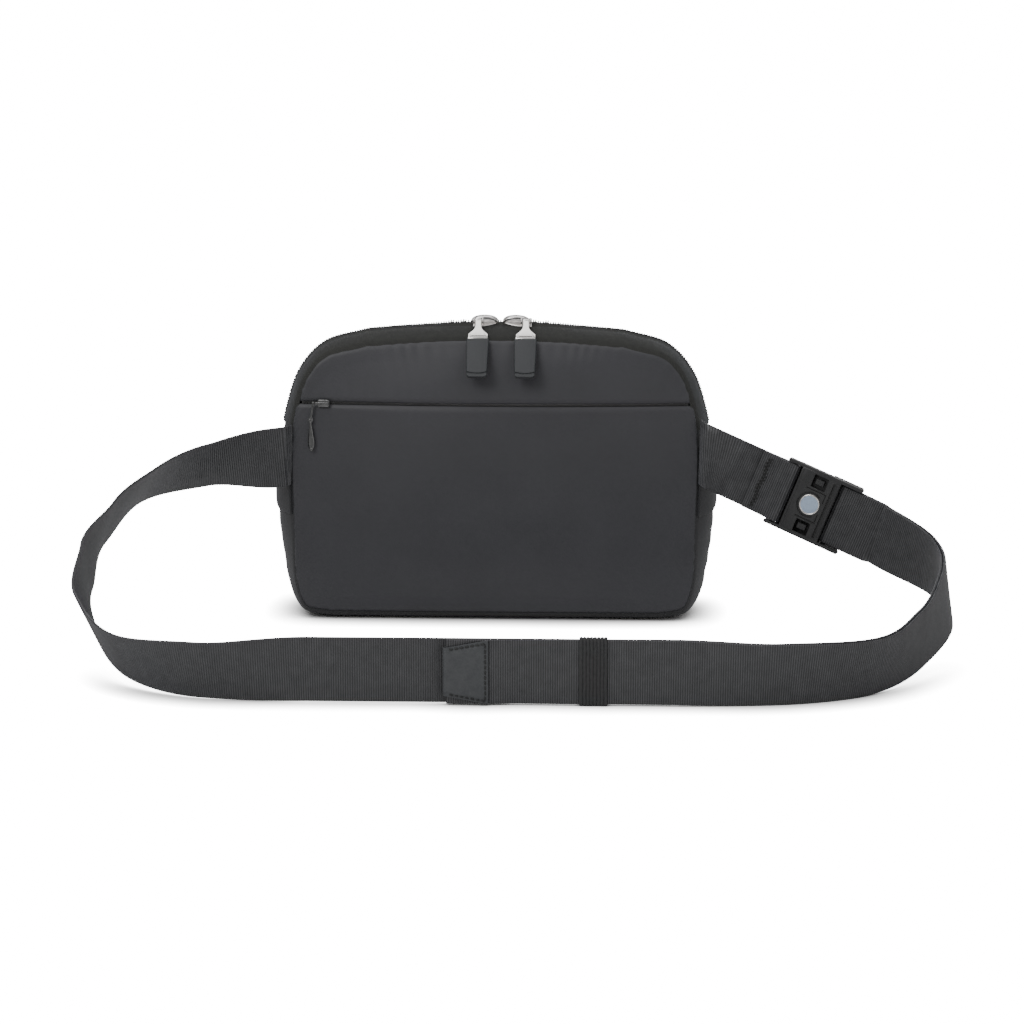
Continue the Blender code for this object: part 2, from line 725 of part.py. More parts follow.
def web_slab(name, frames, offset, finish="webbing", width=WEB_W, thick=WEB_T):
    """One layer of webbing along frames, its centre offset along the face normal."""
    outer, inner = [], []
    for i, (point, across, face) in enumerate(frames):
        shift = offset[i] if isinstance(offset, list) else offset
        middle = point + face * shift
        outer.append([middle + across * (width / 2) + face * (thick / 2),
                      middle - across * (width / 2) + face * (thick / 2)])
        inner.append([middle + across * (width / 2) - face * (thick / 2),
                      middle - across * (width / 2) - face * (thick / 2)])
    for grid in (outer, inner):
        for row in grid:
            for point in row:
                point.z = max(point.z, 0.0)
    return slab(name, outer, inner, finish)


def make_strap():
    """The strap is one length of webbing, in stretches that meet end to end; its tail lies on
    the outer face of the front run and of the right curve."""
    left = run_frames(LEFT_RUN, 3)
    web_slab("strap_left", left, 0.0)

    x0, x1 = FRONT_X[0] + 0.9, FRONT_X[1] - 0.6
    straight = [(Vector((x, STRAP_Y, STRAP_Z)), Vector((0, 0, 1)), Vector((0, -1, 0)))
                for x in (x0, x1)]
    web_slab("strap_front", straight, 0.0)

    right = run_frames(RIGHT_RUN, 3)
    web_slab("strap_right", right, 0.0)
    tail = [(p + (-f) * WEB_LAYER, a, f) for p, a, f in right]
    web_slab("strap_tail_right", tail, 0.0)

    line = []
    for x, layer in ((x1, WEB_LAYER), (TAB_X[1] + 16.0, WEB_LAYER), (TAB_X[1] + 2.0, TAB_LAYER),
                     (TAB_X[0] + 1.6, TAB_LAYER)):
        line.append((Vector((x, STRAP_Y - layer, STRAP_Z)), Vector((0, 0, 1)), Vector((0, -1, 0))))
    web_slab("strap_tail_front", line, 0.0)
    make_end_tab()
    make_keeper()


def make_end_tab():
    """A leather tab folded round the tail's end: narrow at the fold, full width on the tail."""
    y = STRAP_Y - TAB_LAYER
    x0, x1 = TAB_X
    wide = WEB_W / 2 - 0.2
    narrow = wide * TAB_NARROW
    frame = Matrix.Translation((0.0, y, STRAP_Z)) @ Matrix.Rotation(math.radians(90), 4, "X")
    near = WEB_T / 2 + GAP
    flank = [(x0, -narrow), (x1, -wide), (x1, wide), (x0, narrow)]
    fold_x = x0 + 1.2
    step = narrow + (wide - narrow) * 1.2 / (x1 - x0)
    fold = [(x0, -narrow), (fold_x, -step), (fold_x, step), (x0, narrow)]
    parts = [lambda bm: add_prism(bm, flank, near, near + 1.1, frame),
             lambda bm: add_prism(bm, flank, -near - 0.7, -near, frame),
             lambda bm: add_prism(bm, fold, -near - 0.5, near + 0.8, frame)]
    join_solids("strap_end_tab", parts, "leather")


def make_keeper():
    """An elastic loop round the strap and its tail, free to slide along the front run."""
    near = STRAP_Y - WEB_LAYER - WEB_T / 2 - GAP
    far = STRAP_Y + WEB_T / 2 + GAP
    skin = 0.6
    x0, x1 = KEEPER_X

    def ring(grow):
        low = STRAP_Z - WEB_W / 2 - 0.2 - grow
        high = STRAP_Z + WEB_W / 2 + 0.2 + grow
        return [(near - grow, low), (far + grow, low), (far + grow, high), (near - grow, high)]

    outer = [[Vector((x, y, z)) for y, z in ring(skin)] for x in (x0, x1)]
    inner = [[Vector((x, y, z)) for y, z in ring(0.0)] for x in (x0, x1)]
    origin = ((x0 + x1) / 2, (near + far) / 2, STRAP_Z)
    slab("strap_keeper", outer, inner, "elastic", closed=True, origin=origin)


# ---------------------------------------------------------------- buckle
def buckle_frame():
    """Local axes of the buckle: x along the strap away from the bag, y up across it, z out."""
    target = Vector(RIGHT_RUN[0][:3])
    along = (target - STUB_ROOT).normalized()
    upright = (Vector((0, 0, 1)) - along * along.z).normalized()
    face = along.cross(upright)
    lean = math.radians(-5)
    across = upright * math.cos(lean) + face * math.sin(lean)
    out = along.cross(across)
    centre = STUB_ROOT + along * BUCKLE_FROM_ROOT
    rows = [[along[i], across[i], out[i], centre[i]] for i in range(3)] + [[0, 0, 0, 1]]
    return Matrix(rows)


def buckle_block(frame, x0, x1, y0, y1, z0, z1, radius=0.0):
    outline = rectangle(x0, x1, y0, y1, radius)
    return lambda bm: add_prism(bm, outline, z0, z1, frame)


def make_receiver(frame, pivot):
    """The half sewn to the bag: two side rails, a front plate with two windows, a webbing bar."""
    half = BUCKLE_L / 2
    parts = []
    for side in (-1, 1):
        y0, y1 = sorted((side * RAIL_IN, side * RAIL_OUT))
        parts.append(buckle_block(frame, -half, half, y0, y1, -1.6, 2.6, 1.0))
    parts.append(buckle_block(frame, PLATE_X[0], PLATE_X[1], -RAIL_IN - 0.5, RAIL_IN + 0.5, 0.9, 3.2))
    parts.append(buckle_block(frame, -21.5, -18.7, -RAIL_IN - 0.5, RAIL_IN + 0.5, -1.4, 1.2))
    receiver = join_solids("buckle_receiver", parts, "plastic", pivot)
    x0, x1, y0, y1 = WINDOW
    cuts = [rectangle(x0, x1, y0, y1), rectangle(x0, x1, -y1, -y0),
            circle(MAGNET_X, 0.0, MAGNET_R + 0.3, 20)]
    for outline, floor in zip(cuts, (-1.0, -1.0, 2.0)):
        bm = bmesh.new()
        add_prism(bm, outline, floor, 6.0, frame)
        tool = finish_object("window_cutter", bm, "plastic", pivot, smooth=False)
        apply_boolean(receiver, tool, "DIFFERENCE")
    receiver.data.shade_smooth()
    receiver.data.set_sharp_from_angle(angle=math.radians(35))
    bm = bmesh.new()
    add_prism(bm, circle(MAGNET_X, 0.0, MAGNET_R, 20), 2.3, 3.5, frame)
    finish_object("buckle_magnet_cap", bm, "steel", pivot)


def make_tongue(frame):
    """The strap's half: a plate with two hooks, arms and the bar that the webbing turns round."""
    parts = [buckle_block(frame, -13.5, 8.5, -18.6, 18.6, -4.2, -2.2)]
    for side in (-1, 1):
        y0, y1 = sorted((side * 13.2, side * 16.8))
        parts.append(buckle_block(frame, -2.4, 0.8, y0, y1, -2.6, 2.0))
        y0, y1 = sorted((side * RAIL_IN, side * RAIL_OUT))
        parts.append(buckle_block(frame, 4.0, 24.0, y0, y1, -5.4, -2.0))
    parts.append(buckle_block(frame, 4.0, 7.0, -RAIL_IN - 0.5, RAIL_IN + 0.5, -4.6, -2.6))
    parts.append(buckle_block(frame, 12.4, 15.4, -RAIL_IN - 0.5, RAIL_IN + 0.5, -3.9, -2.1))
    join_solids("buckle_tongue", parts, "plastic")
    bm = bmesh.new()
    add_prism(bm, circle(MAGNET_X, 0.0, MAGNET_R - 0.5, 16), -1.9, -0.6, frame)
    finish_object("buckle_magnet", bm, "steel")


def ribbon_profile(path, thick):
    """Outer and inner sides of a strip seen from its edge, from its centre line (x, z)."""
    points = [Vector(p) for p in path]
    left, right = [], []
    for i, point in enumerate(points):
        along = (points[min(i + 1, len(points) - 1)] - points[max(i - 1, 0)]).normalized()
        side = Vector((-along.y, along.x)) * thick / 2
        left.append(point + side)
        right.append(point - side)
    return left, right


def profile_slab(name, frame, path, finish, origin=(0, 0, 0)):
    """Webbing seen edge-on: its centre line is given in the buckle's x and z."""
    left, right = ribbon_profile(path, WEB_T)
    half = WEB_W / 2

    def at(p, y):
        # the end that is sewn into the bag is cut upright, along the seam
        share = min(max((-55.0 - p.x) / 20.0, 0.0), 1.0)
        return frame @ Vector((p.x - 0.38 * y * share, y, p.y))

    outer = [[at(p, y) for y in (-half, half)] for p in left]
    inner = [[at(p, y) for y in (-half, half)] for p in right]
    return slab(name, outer, inner, finish, origin=origin)


def turn(cx, cz, radius, start, stop, steps):
    points = []
    for k in range(steps + 1):
        angle = math.radians(start + (stop - start) * k / steps)
        points.append((cx + radius * math.cos(angle), cz + radius * math.sin(angle)))
    return points


def make_buckle():
    frame = buckle_frame()
    pivot = STUB_ROOT.copy()
    make_receiver(frame, pivot)
    make_tongue(frame)
    # the short webbing comes from the bag, turns round the receiver's bar and is sewn to itself
    around = turn(-20.1, -0.1, 2.95, -90, 90, 6)
    stub = [(-BUCKLE_FROM_ROOT + 0.5, -1.2), (-62, -1.2), (-44, -1.2), (-34, -1.3), (-27, -2.4)] + around \
        + [(-27, 2.0), (-33, 0.7), (-41, 0.6)]
    profile_slab("strap_stub", frame, stub, "webbing", pivot)
    # the strap dips over the tongue's bar, turns round it and leaves again as the tail
    around = turn(13.9, -3.0, 2.6, 90, 270, 6)
    bend = [(42.8, 0.0), (30, 0.1), (20, -0.2)] + around + [(20, -5.2), (30, -3.6), (42.8, -2.0)]
    profile_slab("strap_buckle_turn", frame, bend, "webbing")


# ---------------------------------------------------------------- scene
def main():
    for obj in list(bpy.data.objects):
        bpy.data.objects.remove(obj)
    panel("front_upper_panel", POCKET_Z + POCKET_GAP, True, 3, 28, front_y)
    panel("front_pocket_panel", POCKET_Z - POCKET_GAP, False, 6, 40, front_y)
    back_panel()
    make_band()
    make_gusset()
    side_patch("side_patch_left", -1)
    side_patch("side_patch_right", 1)
    make_linings()
    make_pocket_zip()
    make_pocket_slider()
    for side in (-1, 1):
        make_main_slider(side)
    make_strap()
    make_buckle()


main()
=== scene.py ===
# Belt bag with a webbing waist strap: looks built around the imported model.
import math
import random

import bpy
from mathutils import Matrix, Vector, noise


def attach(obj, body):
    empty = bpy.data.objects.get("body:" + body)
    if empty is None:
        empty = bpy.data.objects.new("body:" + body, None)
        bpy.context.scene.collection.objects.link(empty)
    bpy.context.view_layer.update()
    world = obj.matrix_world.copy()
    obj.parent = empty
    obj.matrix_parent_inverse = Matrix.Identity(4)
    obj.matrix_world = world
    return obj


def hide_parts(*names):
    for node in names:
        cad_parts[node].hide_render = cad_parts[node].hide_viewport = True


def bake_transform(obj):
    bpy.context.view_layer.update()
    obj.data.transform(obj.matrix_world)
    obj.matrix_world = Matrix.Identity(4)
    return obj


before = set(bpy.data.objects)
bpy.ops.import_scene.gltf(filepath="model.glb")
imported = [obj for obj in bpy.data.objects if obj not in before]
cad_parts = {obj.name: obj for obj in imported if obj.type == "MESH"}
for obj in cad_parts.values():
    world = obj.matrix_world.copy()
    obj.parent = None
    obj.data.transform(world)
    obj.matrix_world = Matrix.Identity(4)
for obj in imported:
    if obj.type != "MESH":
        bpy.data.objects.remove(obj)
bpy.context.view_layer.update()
random.seed(11)
mm = 0.001


# small workshop helpers
def clearPick():
    if bpy.context.object and bpy.context.object.mode != "OBJECT":
        bpy.ops.object.mode_set(mode="OBJECT")
    bpy.ops.object.select_all(action="DESELECT")


def pick(obj):
    clearPick()
    obj.select_set(True)
    bpy.context.view_layer.objects.active = obj


def applyModifier(obj, kind, **settings):
    pick(obj)
    modifier = obj.modifiers.new(kind.title(), kind)
    for key, value in settings.items():
        setattr(modifier, key, value)
    bpy.ops.object.modifier_apply(modifier=modifier.name)
    return obj


def editMesh(obj, *steps):
    # each step is an operator and its settings, run on the whole mesh
    pick(obj)
    bpy.ops.object.mode_set(mode="EDIT")
    for operator, settings in steps:
        bpy.ops.mesh.select_all(action="SELECT")
        operator(**settings)
    bpy.ops.object.mode_set(mode="OBJECT")


def closeMesh(obj):
    editMesh(obj, (bpy.ops.mesh.remove_doubles, {"threshold": 0.000002}),
             (bpy.ops.mesh.fill_holes, {"sides": 0}),
             (bpy.ops.mesh.normals_make_consistent, {"inside": False}))


def joinPieces(name, pieces):
    clearPick()
    for piece in pieces:
        piece.select_set(True)
    bpy.context.view_layer.objects.active = pieces[0]
    bpy.ops.object.join()
    joined = bpy.context.object
    joined.name = name
    joined.data.name = name
    return joined


def copyAlong(name, model, places):
    # the modelled piece is copied to each place, and the copies are joined
    made = []
    for place in places:
        copied = model.copy()
        copied.data = model.data.copy()
        bpy.context.scene.collection.objects.link(copied)
        copied.data.transform(place)
        made.append(copied)
    bpy.data.objects.remove(model)
    return joinPieces(name, made)


def smooth(obj, angle=35):
    pick(obj)
    bpy.ops.object.shade_smooth_by_angle(angle=math.radians(angle))
    return obj


def finish(obj, material, slotName, body, *nodes):
    obj.data.materials.clear()
    obj.data.materials.append(material)
    if body:
        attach(obj, body)
    if nodes:
        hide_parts(*nodes)
    return obj


def gridSheet(name, columns, rows, place, spanU=1.0, spanV=1.0, facing=None):
    # a grid whose points are moved to place(u, v), with its UV map in metres
    clearPick()
    bpy.ops.mesh.primitive_grid_add(x_subdivisions=columns, y_subdivisions=rows, size=2, calc_uvs=True)
    obj = bpy.context.object
    obj.name = name
    mesh = obj.data
    for vert in mesh.vertices:
        vert.co = place((vert.co.x + 1) / 2, (vert.co.y + 1) / 2)
    for entry in mesh.uv_layers.active.data:
        entry.uv = (entry.uv.x * spanU, entry.uv.y * spanV)
    mesh.update()
    if facing is not None and facing(mesh) < 0:
        editMesh(obj, (bpy.ops.mesh.flip_normals, {}))
    return obj


def facingAlong(direction):
    goal = Vector(direction)
    return lambda mesh: sum(face.normal.dot(goal) * face.area for face in mesh.polygons)


def facingFrom(centre):
    middle = Vector(centre)
    return lambda mesh: sum(face.normal.dot(face.center - middle) * face.area for face in mesh.polygons)


def sweep(name, frames, section, spanU=1.0, capped=True):
    # a closed section carried along frames: each frame is (point, sideways, outwards)
    last, count = len(frames) - 1, len(section)
    around = sum((Vector(a) - Vector(b)).length for a, b in zip(section, section[1:] + section[:1]))

    def place(u, v):
        point, sideways, outwards = frames[round(u * last)]
        a, b = section[round(v * count) % count]
        return point + sideways * a + outwards * b

    obj = gridSheet(name, last, count, place, spanU, around)
    steps = [(bpy.ops.mesh.remove_doubles, {"threshold": 0.000002})]
    if capped:
        steps.append((bpy.ops.mesh.fill_holes, {"sides": 0}))
    steps.append((bpy.ops.mesh.normals_make_consistent, {"inside": False}))
    editMesh(obj, *steps)
    return obj


def plate(name, outline, low, high, place=Matrix.Identity(4), bevel=0.0, segments=2, angle=40):
    # an outline in (x, y) extruded from low to high, its edges rounded, then put in place
    clearPick()
    bpy.ops.mesh.primitive_circle_add(vertices=len(outline), radius=1, fill_type="NGON")
    obj = bpy.context.object
    obj.name = name
    for vert, (x, y) in zip(obj.data.vertices, outline):
        vert.co = (x, y, low)
    editMesh(obj,
             (bpy.ops.mesh.extrude_region_move, {"TRANSFORM_OT_translate": {"value": (0, 0, high - low)}}),
             (bpy.ops.mesh.normals_make_consistent, {"inside": False}))
    if bevel:
        applyModifier(obj, "BEVEL", width=bevel, segments=segments, limit_method="ANGLE",
                      angle_limit=math.radians(angle), use_clamp_overlap=True)
    obj.data.transform(place)
    return obj


def cutWith(obj, cutter):
    applyModifier(obj, "BOOLEAN", operation="DIFFERENCE", object=cutter, solver="EXACT")
    bpy.data.objects.remove(cutter)


def roundedBox(x0, x1, y0, y1, radius=0.0, steps=4):
    if radius <= 0:
        return [(x0, y0), (x1, y0), (x1, y1), (x0, y1)]
    corners = [(x1 - radius, y1 - radius, 0), (x0 + radius, y1 - radius, 90),
               (x0 + radius, y0 + radius, 180), (x1 - radius, y0 + radius, 270)]
    points = []
    for cx, cy, start in corners:
        for k in range(steps + 1):
            turn = math.radians(start + 90.0 * k / steps)
            points.append((cx + radius * math.cos(turn), cy + radius * math.sin(turn)))
    return points


def ring(cx, cy, radius, count):
    return [(cx + radius * math.cos(2 * math.pi * k / count), cy + radius * math.sin(2 * math.pi * k / count))
            for k in range(count)]


def catmull(points, steps):
    vectors = [Vector(p) for p in points]
    padded = [2 * vectors[0] - vectors[1]] + vectors + [2 * vectors[-1] - vectors[-2]]
    out = []
    for i in range(1, len(padded) - 2):
        a, b, c, d = padded[i - 1:i + 3]
        for k in range(steps):
            t = k / steps
            out.append(0.5 * (2 * b + (c - a) * t + (2 * a - 5 * b + 4 * c - d) * t * t
                              + (3 * b - a - 3 * c + d) * t ** 3))
    out.append(vectors[-1])
    return out


def spaced(points, count):
    # points evenly spaced along a polyline
    lengths = [0.0]
    for a, b in zip(points, points[1:]):
        lengths.append(lengths[-1] + (b - a).length)
    out, i = [], 0
    for k in range(count):
        goal = lengths[-1] * k / (count - 1)
        while i < len(points) - 2 and lengths[i + 1] < goal:
            i += 1
        part = (goal - lengths[i]) / max(lengths[i + 1] - lengths[i], 1e-12)
        out.append(points[i].lerp(points[i + 1], min(max(part, 0.0), 1.0)))
    return out


def ease(t):
    t = min(max(t, 0.0), 1.0)
    return t * t * (3 - 2 * t)


def wobble(x, y, z, size, seed=0.0):
    return noise.noise(Vector((x / size + seed, y / size, z / size - seed)))


def maths(tree, operation, a, b=None, c=None):
    node = tree.nodes.new("ShaderNodeMath")
    node.operation = operation
    for slotIndex, value in enumerate((a, b, c)):
        if value is None:
            continue
        if isinstance(value, (int, float)):
            node.inputs[slotIndex].default_value = value
        else:
            tree.links.new(value, node.inputs[slotIndex])
    return node.outputs[0]


# camera, light and floor
studio = {
    "target": (0.010, 0.0, 0.063), "azimuth": 2.0, "elevation": 12.0, "distance": 2.3, "lens": 128.25,
    "world": 0.42, "worldColour": (1.0, 1.0, 1.0), "floorColour": (0.9, 0.9, 0.9), "backdropGlow": 16.0,
    "shadowReach": 0.022, "shadowDepth": 4.0,
    "keyPower": 14.0, "fillPower": 3.0, "topPower": 9.0, "rimPower": 5.0,
}


def areaLight(name, place, aim, size, power):
    data = bpy.data.lights.new(name, "AREA")
    data.shape = "RECTANGLE"
    data.size, data.size_y = size
    data.energy = power
    lamp = bpy.data.objects.new(name, data)
    bpy.context.scene.collection.objects.link(lamp)
    lamp.location = place
    lamp.rotation_euler = (Vector(aim) - Vector(place)).to_track_quat("-Z", "Y").to_euler()
    return lamp


def setStudio():
    az, el = math.radians(studio["azimuth"]), math.radians(studio["elevation"])
    target = Vector(studio["target"])
    away = Vector((math.sin(az) * math.cos(el), -math.cos(az) * math.cos(el), math.sin(el)))
    data = bpy.data.cameras.new("camera")
    data.lens = studio["lens"]
    data.sensor_width = 36.0
    data.clip_start, data.clip_end = 0.05, 50.0
    camera = bpy.data.objects.new("camera", data)
    bpy.context.scene.collection.objects.link(camera)
    camera.location = target + away * studio["distance"]
    camera.rotation_euler = (-away).to_track_quat("-Z", "Y").to_euler()
    bpy.context.scene.camera = camera

    world = bpy.data.worlds.new("studio")
    bpy.context.scene.world = world
    world.use_nodes = True
    sky = world.node_tree.nodes["Background"]
    sky.inputs["Color"].default_value = (*studio["worldColour"], 1.0)
    rays = world.node_tree.nodes.new("ShaderNodeLightPath")
    strength = maths(world.node_tree, "MULTIPLY_ADD", rays.outputs["Is Camera Ray"],
                     studio["backdropGlow"] + 1.5 - studio["world"], studio["world"])
    world.node_tree.links.new(strength, sky.inputs["Strength"])

    areaLight("key", (-0.9, -1.3, 1.5), (0, -0.05, 0.09), (0.9, 0.9), studio["keyPower"])
    areaLight("fill", (1.3, -1.2, 0.9), (0, -0.05, 0.09), (1.0, 1.0), studio["fillPower"])
    areaLight("top", (0.0, 0.1, 1.8), (0, -0.05, 0.0), (1.6, 1.2), studio["topPower"])
    areaLight("rim", (0.2, 1.4, 1.0), (0, 0, 0.12), (1.2, 0.6), studio["rimPower"])

    clearPick()
    bpy.ops.mesh.primitive_plane_add(size=12, location=(0, 0, 0))
    floor = bpy.context.object
    floor.name = "floor"
    paint = bpy.data.materials.new("floorPaint")
    paint.use_nodes = True
    shader = paint.node_tree.nodes["Principled BSDF"]
    shader.inputs["Base Color"].default_value = (*studio["floorColour"], 1.0)
    shader.inputs["Roughness"].default_value = 0.9
    shader.inputs["Specular IOR Level"].default_value = 0.1
    shader.inputs["Emission Color"].default_value = (1, 1, 1, 1)
    rays = paint.node_tree.nodes.new("ShaderNodeLightPath")     # the floor looks lit through to the camera
    contact = paint.node_tree.nodes.new("ShaderNodeAmbientOcclusion")    # a soft contact shadow
    contact.samples = 16
    contact.inputs["Distance"].default_value = studio["shadowReach"]
    dimmed = maths(paint.node_tree, "POWER", contact.outputs["AO"], studio["shadowDepth"])
    lit = maths(paint.node_tree, "MULTIPLY", rays.outputs["Is Camera Ray"], dimmed)
    glow = maths(paint.node_tree, "MULTIPLY", lit, studio["backdropGlow"])
    paint.node_tree.links.new(glow, shader.inputs["Emission Strength"])
    floor.data.materials.append(paint)


setStudio()
print("stage: camera, lights and floor")


# node groups and materials
def newGroup(name, inputs, outputs):
    group = bpy.data.node_groups.new(name, "ShaderNodeTree")
    for label, kind, value in inputs:
        made = group.interface.new_socket(name=label, in_out="INPUT", socket_type=kind)
        if value is not None:
            made.default_value = value
    for label, kind in outputs:
        group.interface.new_socket(name=label, in_out="OUTPUT", socket_type=kind)
    return group, group.nodes.new("NodeGroupInput"), group.nodes.new("NodeGroupOutput")


def makeThreadsGroup():
    # crossing threads: pitch along and across, with a slant for twill
    group, given, out = newGroup(
        "crossingThreads",
        [("Vector", "NodeSocketVector", None), ("Pitch U", "NodeSocketFloat", 0.5),
         ("Pitch V", "NodeSocketFloat", 0.5), ("Slant", "NodeSocketFloat", 0.0),
         ("Cross", "NodeSocketFloat", 1.0), ("Fuzz", "NodeSocketFloat", 0.3)],
        [("Height", "NodeSocketFloat"), ("Mask", "NodeSocketFloat")])
    split = group.nodes.new("ShaderNodeSeparateXYZ")
    group.links.new(given.outputs["Vector"], split.inputs[0])
    u, v = split.outputs[0], split.outputs[1]
    turnU = maths(group, "DIVIDE", u, given.outputs["Pitch U"])
    turnV = maths(group, "DIVIDE", v, given.outputs["Pitch V"])
    slanted = maths(group, "MULTIPLY_ADD", turnV, given.outputs["Slant"], turnU)
    waveU = maths(group, "SINE", maths(group, "MULTIPLY", slanted, 2 * math.pi))
    waveV = maths(group, "SINE", maths(group, "MULTIPLY", turnV, 2 * math.pi))
    crossed = maths(group, "MULTIPLY", maths(group, "MULTIPLY", waveU, waveV), given.outputs["Cross"])
    grain = group.nodes.new("ShaderNodeTexNoise")
    grain.inputs["Scale"].default_value = 3.0
    grain.inputs["Detail"].default_value = 3.0
    group.links.new(given.outputs["Vector"], grain.inputs["Vector"])
    centred = maths(group, "SUBTRACT", grain.outputs["Fac"], 0.5)
    fuzz = maths(group, "MULTIPLY", centred, given.outputs["Fuzz"])
    total = maths(group, "ADD", maths(group, "ADD", waveU, crossed), fuzz)
    group.links.new(maths(group, "MULTIPLY_ADD", total, 0.25, 0.5), out.inputs["Height"])
    group.links.new(maths(group, "MULTIPLY_ADD", waveU, 0.5, 0.5), out.inputs["Mask"])
    return group


def makeMottleGroup():
    # slow change of tone and roughness over a surface
    group, given, out = newGroup(
        "mottledTone",
        [("Vector", "NodeSocketVector", None), ("Colour", "NodeSocketColor", (0.05, 0.05, 0.05, 1)),
         ("Light Colour", "NodeSocketColor", (0.07, 0.07, 0.07, 1)), ("Patch Size", "NodeSocketFloat", 20.0),
         ("Roughness", "NodeSocketFloat", 0.6), ("Roughness Change", "NodeSocketFloat", 0.1)],
        [("Colour", "NodeSocketColor"), ("Roughness", "NodeSocketFloat")])
    slow = group.nodes.new("ShaderNodeTexNoise")
    slow.inputs["Detail"].default_value = 4.0
    group.links.new(given.outputs["Vector"], slow.inputs["Vector"])
    group.links.new(given.outputs["Patch Size"], slow.inputs["Scale"])
    mix = group.nodes.new("ShaderNodeMix")
    mix.data_type = "RGBA"
    stretched = maths(group, "MULTIPLY_ADD", slow.outputs["Fac"], 2.0, -0.5)
    clipped = group.nodes.new("ShaderNodeClamp")
    group.links.new(stretched, clipped.inputs[0])
    group.links.new(clipped.outputs[0], mix.inputs["Factor"])
    group.links.new(given.outputs["Colour"], mix.inputs["A"])
    group.links.new(given.outputs["Light Colour"], mix.inputs["B"])
    group.links.new(mix.outputs["Result"], out.inputs["Colour"])
    centred = maths(group, "SUBTRACT", slow.outputs["Fac"], 0.5)
    group.links.new(maths(group, "MULTIPLY_ADD", centred, given.outputs["Roughness Change"],
                          given.outputs["Roughness"]), out.inputs["Roughness"])
    return group


threadsGroup = makeThreadsGroup()
mottleGroup = makeMottleGroup()


def placeGroup(tree, group, vector, **values):
    node = tree.nodes.new("ShaderNodeGroup")
    node.node_tree = group
    tree.links.new(vector, node.inputs["Vector"])
    for label, value in values.items():
        node.inputs[label.replace("_", " ")].default_value = value
    return node


def basicMaterial(name, look):
    # tone and roughness from the mottled group; bump from threads or grain; thread stripes can also darken
    # the colour as painted shade along the ribs
    material = bpy.data.materials.new(name)
    material.use_nodes = True
    tree = material.node_tree
    shader = tree.nodes["Principled BSDF"]
    coords = tree.nodes.new("ShaderNodeTexCoord")
    scaled = tree.nodes.new("ShaderNodeMapping")
    scaled.inputs["Scale"].default_value = (1000, 1000, 1000)  # the pattern is laid out in millimetres
    scaled.inputs["Rotation"].default_value = look.get("turn", (0, 0, 0))
    tree.links.new(coords.outputs[look.get("coords", "Object")], scaled.inputs["Vector"])
    solid = tree.nodes.new("ShaderNodeMapping")
    solid.inputs["Scale"].default_value = (1000, 1000, 1000)
    tree.links.new(coords.outputs["Object"], solid.inputs["Vector"])
    tone = placeGroup(tree, mottleGroup, solid.outputs[0], Colour=(*look["colour"], 1),
                      Light_Colour=(*look.get("light", [c * 1.35 for c in look["colour"]]), 1),
                      Patch_Size=1.0 / look.get("patch", 14.0), Roughness=look["rough"],
                      Roughness_Change=look.get("roughChange", 0.12))
    tree.links.new(tone.outputs["Colour"], shader.inputs["Base Color"])
    tree.links.new(tone.outputs["Roughness"], shader.inputs["Roughness"])
    shader.inputs["Metallic"].default_value = look.get("metal", 0.0)
    shader.inputs["Specular IOR Level"].default_value = look.get("specular", 0.5)
    shader.inputs["Sheen Weight"].default_value = look.get("sheen", 0.0)
    shader.inputs["Sheen Roughness"].default_value = look.get("sheenRough", 0.4)
    shader.inputs["Sheen Tint"].default_value = (0.8, 0.85, 1.0, 1.0)
    shader.inputs["Coat Weight"].default_value = look.get("coat", 0.0)
    bump = tree.nodes.new("ShaderNodeBump")
    bump.inputs["Strength"].default_value = look.get("bump", 0.3)
    bump.inputs["Distance"].default_value = look.get("depth", 0.1) * mm
    if "threads" in look:
        pitchU, pitchV, slant, cross, fuzz = look["threads"]
        threads = placeGroup(tree, threadsGroup, scaled.outputs[0], Pitch_U=pitchU, Pitch_V=pitchV,
                             Slant=slant, Cross=cross, Fuzz=fuzz)
        tree.links.new(threads.outputs["Height"], bump.inputs["Height"])
        # painted shade: the colour is darkened in stripes along the thread ribs, standing in for their
        # shading
        if look.get("paintedRibShade"):
            shade = tree.nodes.new("ShaderNodeMix")
            shade.data_type = "RGBA"
            shade.blend_type = "MULTIPLY"
            grey = 1 - look["paintedRibShade"]
            shade.inputs["B"].default_value = (grey, grey, grey, 1)
            tree.links.new(threads.outputs["Mask"], shade.inputs["Factor"])
            tree.links.new(tone.outputs["Colour"], shade.inputs["A"])
            tree.links.new(shade.outputs["Result"], shader.inputs["Base Color"])
    else:
        grain = tree.nodes.new("ShaderNodeTexNoise")
        grain.inputs["Scale"].default_value = 1.0 / look.get("grain", 0.3)
        grain.inputs["Detail"].default_value = 5.0
        tree.links.new(solid.outputs[0], grain.inputs["Vector"])
        if look.get("cells"):
            cells = tree.nodes.new("ShaderNodeTexVoronoi")
            cells.inputs["Scale"].default_value = 1.0 / look["cells"]
            tree.links.new(solid.outputs[0], cells.inputs["Vector"])
            mixed = maths(tree, "MULTIPLY_ADD", grain.outputs["Fac"], 0.4, cells.outputs["Distance"])
            tree.links.new(mixed, bump.inputs["Height"])
        else:
            tree.links.new(grain.outputs["Fac"], bump.inputs["Height"])
    tree.links.new(bump.outputs["Normal"], shader.inputs["Normal"])
    return material


